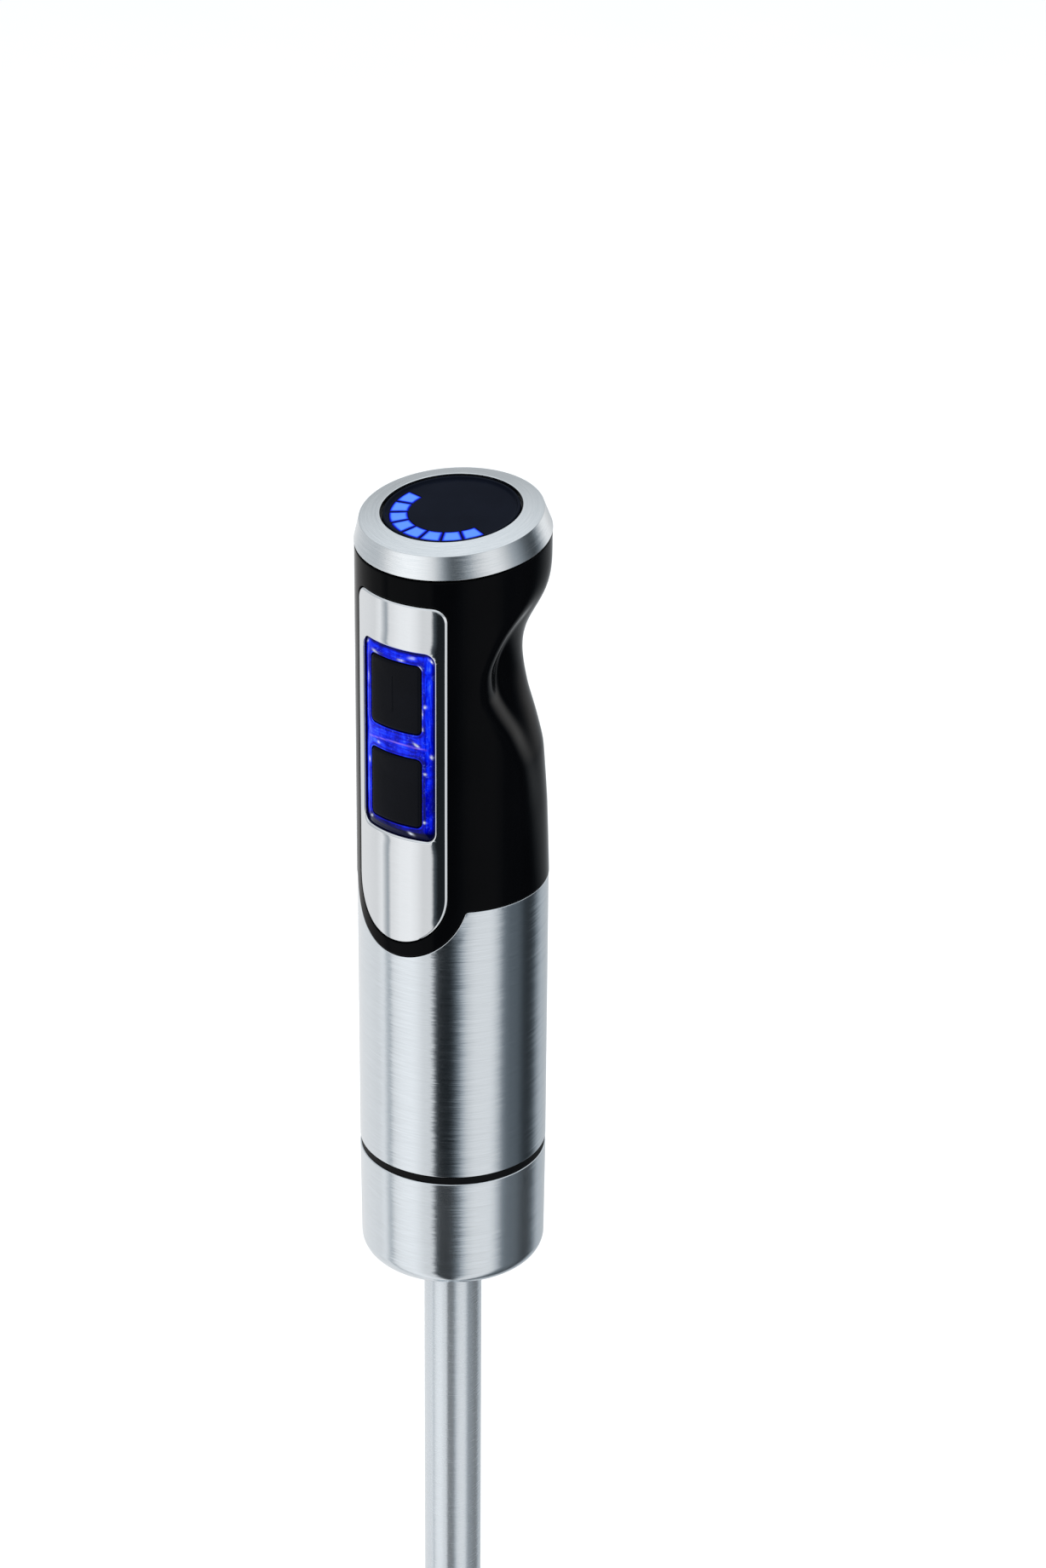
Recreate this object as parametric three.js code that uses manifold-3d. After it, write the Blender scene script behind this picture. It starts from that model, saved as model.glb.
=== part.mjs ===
// Immersion hand blender: motor handle with speed dial, two push buttons and a
// plug-in blending leg.  Millimetres, +Z up.  The origin is the centre of the
// bell's rim, on the plane the blender stands on.  The button side faces -Y.
import * as THREE from 'three';
import { mergeVertices } from 'three/addons/utils/BufferGeometryUtils.js';
import Module from 'manifold-3d';

const wasm = await Module();
wasm.setup();

// ---------------------------------------------------------------- dimensions
const RAD = Math.PI / 180;
const BELL_R = 33.0;            // outer radius of the bell's rim
const BELL_H = 36.0;            // height of the bell
const TUBE_R = 9.1;             // leg tube, outside
const TUBE_WALL = 0.8;
const SHAFT_R = 3.0;            // drive shaft and motor shaft
const CUP_BOTTOM = 167.0;       // underside of the leg's cup
const CUP_TOP = 205.4;          // rim of the leg's cup
const CUP_R_TOP = 29.04;
const CUP_R_LOW = 28.71;
const CUP_EDGE_R = 5.4;         // rounding between the cup's wall and bottom
const SEAM_TOP = 208.0;         // lower edge of the steel sleeve
const SLEEVE_TOP = 300.2;       // upper edge of the steel sleeve
const SLEEVE_R = 29.0;
const SLEEVE_WALL = 0.6;
const BODY_R = 29.3;            // black handle
const BODY_INNER_R = 26.3;
const U_R = 24.0;               // round-ended notch in the sleeve's front
const U_Z = 306.9;
const PLATE_HALF = 17.35;       // trim plate, measured along the curved face
const PLATE_TOP = 399.6;
const PLATE_CORNER = 4.6;
const PLATE_END_Z = 305.15;     // centre of the plate's round lower end
const WINDOW_HALF = 13.55;
const WINDOW_LOW = 323.6;
const WINDOW_HIGH = 384.7;
const BUTTON_HALF = 9.25;
const BUTTONS = [[358.5, 380.4], [327.9, 350.0]];
const BUTTON_TRAVEL = 1.4;       // the pusher and plunger keep this much room
const DIAL_TILT = 6.8 * RAD;    // the dial's face leans towards the buttons
const DIAL_Z = 411.68;          // centre of the dial's lower edge
const DIAL_R_LOW = 29.56;
const DIAL_R_TOP = 27.5;        // where the side meets the ring's conical top
const DIAL_H_EDGE = 7.05;
const DIAL_H = 8.45;            // inner edge of the conical top
const DIAL_OPENING_R = 21.15;
const SPIGOT_R = 21.9;          // drive end of the handle, plugs into the cup
const SPIGOT_LOW = 186.0;
const BIG = 36;                 // facets round the large turned pieces
const INNER = 24;               // facets round the large hidden pieces
const MID = 18;                 // facets round the small ones
const LEVELS = 8;
const LEVEL_START = -99.8;      // degrees from the front, towards +X
const LEVEL_PITCH = 21.3;
const LEVEL_WIDTH = 19.2;

// waist of the handle's back: radius by height
const BACK = [
  [300, 29.3], [313.5, 28.9], [325, 28.5], [334, 27.9], [344, 27.2], [353.2, 25.0], [361.9, 22.5],
  [368.7, 21.2], [374.4, 20.55], [379.2, 20.75], [384, 21.9], [388, 23.7], [392, 25.9],
  [396, 27.9], [400, 28.95], [404.5, 29.3], [430, 29.3],
];
// angle from the front at which the waist begins, by height
const EDGE = [
  [300, 78], [323, 78], [336, 77], [346, 73], [355.4, 66], [362, 57], [368, 49.5], [376.5, 49.5],
  [382, 54], [388.8, 61], [392.4, 67], [398, 76], [430, 84],
];

// ------------------------------------------------------------------- helpers
function table(rows, x) {
  if (x <= rows[0][0]) return rows[0][1];
  for (let i = 1; i < rows.length; i++) {
    if (x <= rows[i][0]) {
      const t = (x - rows[i - 1][0]) / (rows[i][0] - rows[i - 1][0]);
      const s = t * t * (3 - 2 * t) * 0.35 + t * 0.65;
      return rows[i - 1][1] + s * (rows[i][1] - rows[i - 1][1]);
    }
  }
  return rows[rows.length - 1][1];
}

// outside radius of the black handle at an angle from the front and a height
function handleRadius(deg, z) {
  const back = table(BACK, z);
  const edge = table(EDGE, z);
  let t = (Math.abs(deg) - edge) / 30;
  t = Math.min(1, Math.max(0, t));
  t = t * t * (3 - 2 * t);
  return BODY_R - (BODY_R - back) * t;
}

// a closed geometry as a manifold solid, whatever way its faces point
function solid(geometry) {
  let g = geometry.clone();
  for (const name of Object.keys(g.attributes)) if (name !== 'position') g.deleteAttribute(name);
  g = mergeVertices(g, 1e-4);
  const p = g.attributes.position.array;
  const src = g.index.array;
  const tri = [];
  let volume = 0;
  for (let i = 0; i < src.length; i += 3) {
    const [a, b, c] = [src[i], src[i + 1], src[i + 2]];
    if (a === b || b === c || a === c) continue;
    tri.push(a, b, c);
    const [ax, ay, az, bx, by, bz, cx, cy, cz] = [p[3 * a], p[3 * a + 1], p[3 * a + 2], p[3 * b],
      p[3 * b + 1], p[3 * b + 2], p[3 * c], p[3 * c + 1], p[3 * c + 2]];
    volume += (ax * (by * cz - bz * cy) - ay * (bx * cz - bz * cx) + az * (bx * cy - by * cx)) / 6;
  }
  if (volume < 0) for (let i = 0; i < tri.length; i += 3) [tri[i], tri[i + 1]] = [tri[i + 1], tri[i]];
  return new wasm.Manifold(new wasm.Mesh({
    numProp: 3, vertProperties: new Float32Array(p), triVerts: new Uint32Array(tri),
  }));
}

function geometryOf(s) {
  const m = s.getMesh();
  const g = new THREE.BufferGeometry();
  const n = m.vertProperties.length / m.numProp;
  const pos = new Float32Array(n * 3);
  for (let i = 0; i < n; i++) for (let k = 0; k < 3; k++) pos[3 * i + k] = m.vertProperties[i * m.numProp + k];
  g.setAttribute('position', new THREE.BufferAttribute(pos, 3));
  g.setIndex(new THREE.BufferAttribute(new Uint32Array(m.triVerts), 1));
  return g;
}

// profile of [radius, z] pairs turned about Z; a ring profile is closed here
function turned(profile, segments = 48) {
  const pts = profile.map(([r, z]) => new THREE.Vector2(r, z));
  const first = pts[0];
  const last = pts[pts.length - 1];
  if (!(first.x < 1e-6 && last.x < 1e-6)) pts.push(first.clone());
  return solid(new THREE.LatheGeometry(pts, segments).rotateX(Math.PI / 2));
}
const ring = (r0, r1, z0, z1, segments = 48) => turned([[r0, z0], [r1, z0], [r1, z1], [r0, z1]], segments);
const rod = (r, z0, z1, segments = 32) => turned([[0, z0], [r, z0], [r, z1], [0, z1]], segments);

function box(x0, x1, y0, y1, z0, z1) {
  return solid(new THREE.BoxGeometry(x1 - x0, y1 - y0, z1 - z0)
    .translate((x0 + x1) / 2, (y0 + y1) / 2, (z0 + z1) / 2));
}

// outline in the XY plane, raised from z0 to z1
function plate(points, z0, z1, holes = []) {
  const shape = new THREE.Shape(points.map(([x, y]) => new THREE.Vector2(x, y)));
  for (const h of holes) shape.holes.push(new THREE.Path(h.map(([x, y]) => new THREE.Vector2(x, y))));
  return solid(new THREE.ExtrudeGeometry(shape, { depth: z1 - z0, bevelEnabled: false, steps: 1 })
    .translate(0, 0, z0));
}

// outline of [arc length, z] on the handle's face, cut from y0 towards the front
function frontCut(points, y0 = 0, y1 = -40) {
  const shape = new THREE.Shape(points.map(([s, z]) => new THREE.Vector2(BODY_R * Math.sin(s / BODY_R), z)));
  return solid(new THREE.ExtrudeGeometry(shape, { depth: y0 - y1, bevelEnabled: false, steps: 1 })
    .rotateX(Math.PI / 2).translate(0, y0, 0));
}

function arcPoints(cx, cy, r, a0, a1, n) {
  const out = [];
  for (let i = 0; i <= n; i++) {
    const a = (a0 + (a1 - a0) * i / n) * RAD;
    out.push([cx + r * Math.cos(a), cy + r * Math.sin(a)]);
  }
  return out;
}

function roundedRect(x0, x1, y0, y1, r, n = 5) {
  return [
    ...arcPoints(x1 - r, y0 + r, r, -90, 0, n), ...arcPoints(x1 - r, y1 - r, r, 0, 90, n),
    ...arcPoints(x0 + r, y1 - r, r, 90, 180, n), ...arcPoints(x0 + r, y0 + r, r, 180, 270, n),
  ];
}

// outline of the trim plate grown by d on every side
function plateOutline(d) {
  const h = PLATE_HALF + d;
  const c = PLATE_CORNER + d;
  return [
    ...arcPoints(0, PLATE_END_Z, h, 180, 360, 20),
    ...arcPoints(h - c, PLATE_TOP + d - c, c, 0, 90, 6),
    ...arcPoints(-h + c, PLATE_TOP + d - c, c, 90, 180, 6),
  ];
}

const MATERIALS = {
  steel: { color: 0xc9ccce, metalness: 1.0, roughness: 0.32 },
  satin: { color: 0xcfd2d4, metalness: 1.0, roughness: 0.38 },
  black: { color: 0x0a0b0d, metalness: 0.0, roughness: 0.18 },
  dark: { color: 0x17181c, metalness: 0.0, roughness: 0.45 },
  clear: { color: 0x2a3cff, metalness: 0.0, roughness: 0.1 },
  glow: { color: 0x5a96ff, metalness: 0.0, roughness: 0.3 },
  board: { color: 0x1d5a34, metalness: 0.0, roughness: 0.5 },
  nylon: { color: 0x2b2c2f, metalness: 0.0, roughness: 0.6 },
  white: { color: 0xdcdcd6, metalness: 0.0, roughness: 0.5 },
  iron: { color: 0x6d6f73, metalness: 0.8, roughness: 0.5 },
  copper: { color: 0xb5652e, metalness: 0.9, roughness: 0.35 },
  brass: { color: 0xbd9a54, metalness: 1.0, roughness: 0.35 },
  carbon: { color: 0x2b2b2b, metalness: 0.2, roughness: 0.7 },
  rubber: { color: 0x111113, metalness: 0.0, roughness: 0.8 },
};

const blender = new THREE.Group();
const dial = new THREE.Group();          // everything square to the leaning dial
dial.position.set(0, 0, DIAL_Z);
dial.rotation.x = DIAL_TILT;
blender.add(dial);

function piece(name, s, material, parent = blender) {
  const mesh = new THREE.Mesh(geometryOf(s), new THREE.MeshStandardMaterial({ ...MATERIALS[material] }));
  mesh.name = name;
  parent.add(mesh);
  return mesh;
}

// ---------------------------------------------------------------------- bell
{
  const outer = [
    [BELL_R, 0], [BELL_R, 5], [32.2, 12], [29.5, 18.8], [24.6, 23.2], [18.3, 27.6], [13.0, 31.3],
    [10.3, 33.6], [TUBE_R, BELL_H],
  ];
  const inner = [
    [31.4, 0], [31.3, 5], [30.4, 11.5], [27.7, 17.5], [23.0, 21.5], [15.5, 25.2], [10.2, 25.2], [10.2, 21.6],
    [8.3, 21.6], [8.3, 24.4], [6.0, 24.4],
  ];
  // shell with the bearing boss inside, and a neck that the tube is pressed on
  const profile = [
    ...outer, [8.1, BELL_H], [8.1, BELL_H + 11], [7.6, BELL_H + 12], [6.0, BELL_H + 12],
    ...inner.slice().reverse(),
  ];
  let bell = turned(profile, BIG);
  // four arched openings in the rim, so that food flows out
  for (const deg of [45, 135]) {
    const arch = new THREE.Shape(
      [[-9, -1], [9, -1], [9, 1.5], [7.6, 5.2], [4.4, 7.6], [0, 8.4], [-4.4, 7.6], [-7.6, 5.2], [-9, 1.5]]
        .map(([x, y]) => new THREE.Vector2(x, y)));
    const cut = new THREE.ExtrudeGeometry(arch, { depth: 80, bevelEnabled: false, steps: 1 })
      .rotateX(Math.PI / 2).translate(0, 40, 0).rotateZ(deg * RAD);
    bell = bell.subtract(solid(cut));
  }
  piece('bell_guard', bell, 'steel');
}

// ---------------------------------------------------- leg: tube, cup, insert
piece('leg_tube', turned([
  [TUBE_R - TUBE_WALL, BELL_H + 0.2], [TUBE_R, BELL_H + 0.2], [TUBE_R, 176],
  [TUBE_R - TUBE_WALL, 176],
], MID), 'steel');

{
  // steel cup with a rounded lower edge and a nearly flat bottom
  const outer = [];
  for (let i = 0; i <= 4; i++) {
    const a = i * 22.5 * RAD;
    outer.push([CUP_R_LOW - CUP_EDGE_R * (1 - Math.sin(a)), CUP_BOTTOM + 0.5 + CUP_EDGE_R * (1 - Math.cos(a))]);
  }
  const wall = 0.9;
  const profile = [
    [TUBE_R + 0.25, CUP_BOTTOM - 0.3], [12.5, CUP_BOTTOM], ...outer, [CUP_R_TOP, CUP_TOP - 0.5],
    [CUP_R_TOP - 0.35, CUP_TOP], [CUP_R_TOP - wall, CUP_TOP], [CUP_R_LOW - wall, 173.2],
    [CUP_R_LOW - wall - 1.6, 169.6], [CUP_R_LOW - wall - 4.6, 168.5], [TUBE_R + 0.25, 168.3],
  ];
  piece('leg_cup', turned(profile, BIG), 'steel');
}

piece('cup_insert', turned([
  [TUBE_R + 0.25, 168.7], [22.8, 168.7], [26.0, 170.6], [27.5, 174], [27.75, 203.8], [22.35, 203.8],
  [22.35, 184.6], [9.0, 184.6], [9.0, 188.0], [6.6, 188.0], [6.6, 177.4], [TUBE_R + 0.25, 177.4],
], INNER), 'nylon');

piece('upper_shaft_bush', ring(SHAFT_R + 0.08, 6.45, 178.0, 187.6, MID), 'brass');
piece('lower_shaft_bush', ring(SHAFT_R + 0.08, 5.85, 30.0, 46.5, MID), 'brass');
piece('shaft_seal', turned([
  [SHAFT_R + 0.3, 22.0], [8.1, 22.0], [8.1, 24.1], [5.8, 24.1], [5.8, 29.6], [SHAFT_R + 0.1, 29.6],
  [SHAFT_R + 0.1, 27.5],
], MID), 'rubber');

// ------------------------------------------------------------- shaft and blade
piece('drive_shaft', turned([
  [0, 9.5], [2.4, 9.5], [2.4, 19.0], [SHAFT_R, 19.6], [SHAFT_R, 195.6], [2.6, 196.2], [0, 196.2],
], MID), 'steel');

{
  // coupling dog on top of the shaft: round skirt with six drive splines
  let dog = ring(SHAFT_R + 0.15, 5.2, 189.0, 196.0, MID).add(ring(SHAFT_R + 0.15, 8.2, 189.0, 190.4, MID));
  for (let i = 0; i < 6; i++) {
    const s = solid(new THREE.BoxGeometry(4.2, 1.5, 5.2).translate(6.0, 0, 192.7).rotateZ(i * 60 * RAD));
    dog = dog.add(s.subtract(rod(SHAFT_R + 0.5, 188, 198, 24)));
  }
  piece('driven_coupling', dog, 'white');
}

{
  // two swept wings on a flat hub, one bent up and one bent down
  const wing = [];
  const outline = [
    [5.6, -4.2], [11, -4.9], [17, -4.6], [22, -3.0], [25.2, 0.2], [25.6, 2.0], [22, 3.0], [17, 3.6], [11, 4.2],
    [5.6, 4.2],
  ];
  const shape = new THREE.Shape(outline.map(([x, y]) => new THREE.Vector2(x, y)));
  for (const side of [0, 1]) {
    const g = new THREE.ExtrudeGeometry(shape, { depth: 1.4, bevelEnabled: false, steps: 1 });
    const p = g.attributes.position;
    for (let i = 0; i < p.count; i++) {
      const x = p.getX(i);
      const y = p.getY(i);
      const bend = (side ? -1 : 1) * Math.max(0, x - 7) * 0.17;
      p.setZ(i, p.getZ(i) + bend + y * 0.10 * Math.min(1, Math.max(0, x - 6) / 4));
    }
    g.rotateZ(side * Math.PI).translate(0, 0, 13.0);
    wing.push(solid(g));
  }
  const hub = rod(6.4, 12.9, 14.5, MID);
  const blade = hub.add(wing[0]).add(wing[1]).subtract(rod(2.6, 5, 25, 24));
  piece('blade', blade, 'steel');
}
piece('blade_collar', turned([[2.55, 14.8], [4.9, 14.8], [4.9, 17.6], [4.2, 18.6], [2.55, 18.6]], 20), 'steel');
piece('blade_nut', turned([[0, 8.2], [2.2, 8.3], [3.9, 9.2], [4.3, 10.4], [4.3, 12.6], [2.55, 12.6], [2.55, 9.3], [0, 9.3]], 20), 'steel');

// --------------------------------------------------------------- seam ring
piece('coupling_ring', turned([
  [22.35, 204.1], [27.7, 204.1], [27.7, 205.7], [28.75, 205.7], [28.75, 207.7], [22.35, 207.7],
], BIG), 'rubber');

// ------------------------------------------------------- handle: outer skins
{
  const g = new THREE.LatheGeometry([
    [SLEEVE_R - SLEEVE_WALL, SEAM_TOP], [SLEEVE_R, SEAM_TOP], [SLEEVE_R + 0.15, SLEEVE_TOP],
    [SLEEVE_R - SLEEVE_WALL, SLEEVE_TOP], [SLEEVE_R - SLEEVE_WALL, SEAM_TOP],
  ].map(([r, z]) => new THREE.Vector2(r, z)), 2 * BIG).rotateX(Math.PI / 2);
  const notch = frontCut(arcPoints(0, U_Z, U_R, 0, 360, 48).slice(0, -1));
  piece('steel_sleeve', solid(g).subtract(notch), 'steel');
}

// dial plane as a cutting block: everything above the plane at height w
function abovePlane(w) {
  return solid(new THREE.BoxGeometry(120, 120, 60).translate(0, 0, 30 + w)
    .rotateX(DIAL_TILT).translate(0, 0, DIAL_Z));
}

// turned solid whose radius follows the handle's waist, less an offset
function waisted(z0, z1, offset, least, segments = BIG) {
  const heights = [z0];
  for (const z of [334, 344, 353, 361, 368, 374.4, 381, 387, 393, 399]) if (z > z0 + 1 && z < z1 - 1) heights.push(z);
  heights.push(z1);
  const pts = [new THREE.Vector2(0, z0), ...heights.map((z) => new THREE.Vector2(1, z)), new THREE.Vector2(0, z1)];
  const g = new THREE.LatheGeometry(pts, segments).rotateX(Math.PI / 2);
  const p = g.attributes.position;
  for (let i = 0; i < p.count; i++) {
    const [x, y, z] = [p.getX(i), p.getY(i), p.getZ(i)];
    if (Math.hypot(x, y) < 0.5) continue;
    const deg = Math.atan2(x, -y) / RAD;
    const r = Math.max(least, handleRadius(deg, z) - offset);
    p.setXY(i, r * Math.sin(deg * RAD), -r * Math.cos(deg * RAD));
  }
  return solid(g);
}

{
  // lower barrel inside the steel sleeve, waisted grip above it
  const outer = waisted(SLEEVE_TOP + 0.3, 418, 0, 1).subtract(abovePlane(-0.6));
  const barrel = rod(28.1, 208.7, SLEEVE_TOP + 1, BIG);
  const tongue = rod(BODY_R, U_Z - U_R, SLEEVE_TOP + 1, BIG)
    .intersect(frontCut(arcPoints(0, U_Z, U_R - 0.25, 0, 360, 48).slice(0, -1)));
  const core = waisted(SLEEVE_TOP - 2, 420, 2.6, 1, INNER).intersect(rod(BODY_INNER_R, 200, 430, INNER));
  const bore = rod(BODY_INNER_R, 207, SLEEVE_TOP, INNER);
  let shell = outer.add(barrel).add(tongue).subtract(core).subtract(bore);
  // seat for the trim plate, window for the light frame
  shell = shell.subtract(frontCut(plateOutline(0.3)).subtract(rod(28.0, 290, 410, BIG)));
  shell = shell.subtract(frontCut(roundedRect(-WINDOW_HALF - 0.1, WINDOW_HALF + 0.1, WINDOW_LOW - 0.1,
    WINDOW_HIGH + 0.1, 3.1)));
  // rails that hold the two circuit boards
  const inside = waisted(SLEEVE_TOP + 0.3, 418, 1.3, 1);
  for (const side of [-1, 1]) {
    const a = side < 0 ? -13.4 : 11.4;
    const front = box(a, a + 2, -26, -17.6, 319, 384).subtract(frontCut(roundedRect(-WINDOW_HALF - 0.1,
      WINDOW_HALF + 0.1, WINDOW_LOW - 0.1, WINDOW_HIGH + 0.1, 3.1), -21.5));
    shell = shell.add(front.intersect(inside));
    const b = side < 0 ? -27 : 15.3;
    shell = shell.add(box(b, b + 11.7, 4.9, 6.9, 330, 394).intersect(inside));
  }
  // cord inlet at the upper back
  const inlet = solid(new THREE.CylinderGeometry(4.55, 4.55, 20, 28).translate(0, 28, 403));
  shell = shell.subtract(inlet);
  piece('handle_shell', shell, 'black');
}

{
  const skin = ring(28.15, BODY_R + 0.25, 280, 405, BIG);
  const window = frontCut(roundedRect(-WINDOW_HALF, WINDOW_HALF, WINDOW_LOW, WINDOW_HIGH, 3.0));
  piece('front_trim_plate', skin.intersect(frontCut(plateOutline(0))).subtract(window), 'satin');
}

{
  // clear frame around both buttons, with a ridge between them
  const body = rod(BODY_R - 0.05, 300, 400, BIG).intersect(frontCut(
    roundedRect(-WINDOW_HALF + 0.15, WINDOW_HALF - 0.15, WINDOW_LOW + 0.15, WINDOW_HIGH - 0.15, 2.85), -23.6));
  let frame = body;
  for (const [z0, z1] of BUTTONS) {
    frame = frame.subtract(frontCut(roundedRect(-BUTTON_HALF - 0.3, BUTTON_HALF + 0.3, z0 - 0.3, z1 + 0.3, 1.9)));
  }
  piece('button_light_frame', frame, 'clear');
}

// ------------------------------------------------------------------- buttons
BUTTONS.forEach(([z0, z1], i) => {
  const name = i ? 'lower' : 'upper';
  const mid = (z0 + z1) / 2;
  const cap = rod(BODY_R + 0.15, z0 - 5, z1 + 5, BIG)
    .intersect(frontCut(roundedRect(-BUTTON_HALF, BUTTON_HALF, z0, z1, 1.6), -25.2));
  const pusher = solid(new THREE.CylinderGeometry(2.5, 2.5, 1.9, 20).translate(0, -25.1, mid));
  piece(`${name}_button`, cap.add(pusher), 'dark');
  piece(`${name}_switch_plunger`,
    solid(new THREE.CylinderGeometry(1.6, 1.6, 2.35, 16).translate(0, -22.775, mid)), 'white');
  const bodyBox = box(-3.2, 3.2, -22.4, -19.75, mid - 3.2, mid + 3.2);
  const bore = solid(new THREE.CylinderGeometry(1.85, 1.85, 2.4, 20).translate(0, -21.3, mid));
  piece(`${name}_switch`, bodyBox.subtract(bore), 'carbon');
});
piece('button_board', box(-11.1, 11.1, -19.6, -18.0, 321, 387), 'board');
piece('button_led', box(-6.0, 6.0, -21.4, -19.7, 352.9, 355.9), 'white');

// ------------------------------------------------------------ leaning dial
{
  piece('dial_ring', turned([
    [28.0, 0], [DIAL_R_LOW, 0], [DIAL_R_TOP, DIAL_H_EDGE], [DIAL_OPENING_R, DIAL_H], [DIAL_OPENING_R, 6.2],
    [26.1, 6.2],
  ], 48), 'satin', dial);

  // hub that carries the ring, with a toothed inner edge that makes its clicks
  const teeth = [];
  for (let i = 0; i < 17; i++) {
    const a = i * (360 / 17);
    teeth.push(...[[0, 21.2], [0.42, 21.2], [0.5, 22.0], [0.92, 22.0]].map(([t, r]) => {
      const b = (a + t * 360 / 17) * RAD;
      return [r * Math.cos(b), r * Math.sin(b)];
    }));
  }
  let hub = turned([[20.75, 3.2], [25.2, 3.2], [25.2, 0.3], [27.5, 0.3], [25.8, 6.0], [20.75, 6.0]], BIG);
  hub = hub.add(plate(arcPoints(0, 0, 25.4, 0, 360, BIG).slice(0, -1), 0.9, 3.6, [teeth.reverse()]));
  hub = hub.subtract(box(-2.2, 2.2, 22.4, 24.9, 0.2, 2.9));
  piece('dial_hub', hub, 'nylon', dial);
  piece('dial_magnet', box(-2.0, 2.0, 22.6, 24.7, 0.5, 2.7), 'iron', dial);

  // fixed centre: chassis, board, light guide and the black disc over them
  let base = turned([
    [0, -4.0], [25.7, -4.0], [25.7, -1.0], [20.4, -1.0], [20.4, 5.0], [19.0, 5.0], [19.0, -1.6], [0, -1.6],
  ], INNER);
  base = base.subtract(rod(5, -6, 0, 24)).subtract(box(-7, 7, 10, 14.5, -6, 0));
  piece('dial_chassis', base, 'nylon', dial);
  piece('display_board', turned([[0, 0.2], [18.2, 0.2], [18.2, 1.8], [0, 1.8]], 32), 'board', dial);

  let guide = ring(11.6, 18.2, 2.4, 4.6, BIG);
  let disc = turned([[0, 5.3], [19.6, 5.3], [20.4, 5.8], [20.4, 7.8], [20.2, 8.0], [19.55, 8.0], [18.9, 7.25],
    [0, 7.25]], BIG);
  for (let i = 0; i < LEVELS; i++) {
    const a0 = LEVEL_START + i * LEVEL_PITCH - 90;
    const wedge = (grow) => {
      const da = grow / 15.7 / RAD;
      return plate([
        ...arcPoints(0, 0, 18.4 + grow, a0 - da, a0 + LEVEL_WIDTH + da, 3),
        ...arcPoints(0, 0, 13.0 - grow, a0 + LEVEL_WIDTH + da, a0 - da, 2),
      ], grow > 0 ? 4 : 4.4, grow > 0 ? 9 : 7.2);
    };
    guide = guide.add(wedge(0));
    disc = disc.subtract(wedge(0.15));
  }
  piece('level_light_guide', guide, 'glow', dial);
  piece('display_disc', disc, 'black', dial);
}

// ---------------------------------------------------- motor unit, inside
{
  // plastic drive end: flange inside the barrel, spigot that plugs into the cup
  let cap = turned([
    [19.2, SPIGOT_LOW], [SPIGOT_R - 0.8, SPIGOT_LOW], [SPIGOT_R, SPIGOT_LOW + 1.0], [SPIGOT_R, 193.6],
    [20.6, 193.6], [20.6, 196.4], [SPIGOT_R, 196.4], [SPIGOT_R, 208.6],
    [26.0, 208.6], [26.0, 213.0], [4.6, 213.0], [4.6, 209.4], [19.2, 209.4],
  ], INNER);
  for (let i = 0; i < 2; i++) {
    const a = i * 180 * RAD;
    const hole = rod(1.75, 205, 215, 12).translate([16 * Math.cos(a), 16 * Math.sin(a), 0]);
    cap = cap.subtract(hole);
  }
  piece('drive_end_cap', cap, 'nylon');
  piece('spigot_o_ring', turned([[20.7, 194.1], [21.9, 193.9], [22.2, 195.0], [21.9, 196.1], [20.7, 195.9]], INNER), 'rubber');
}
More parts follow.
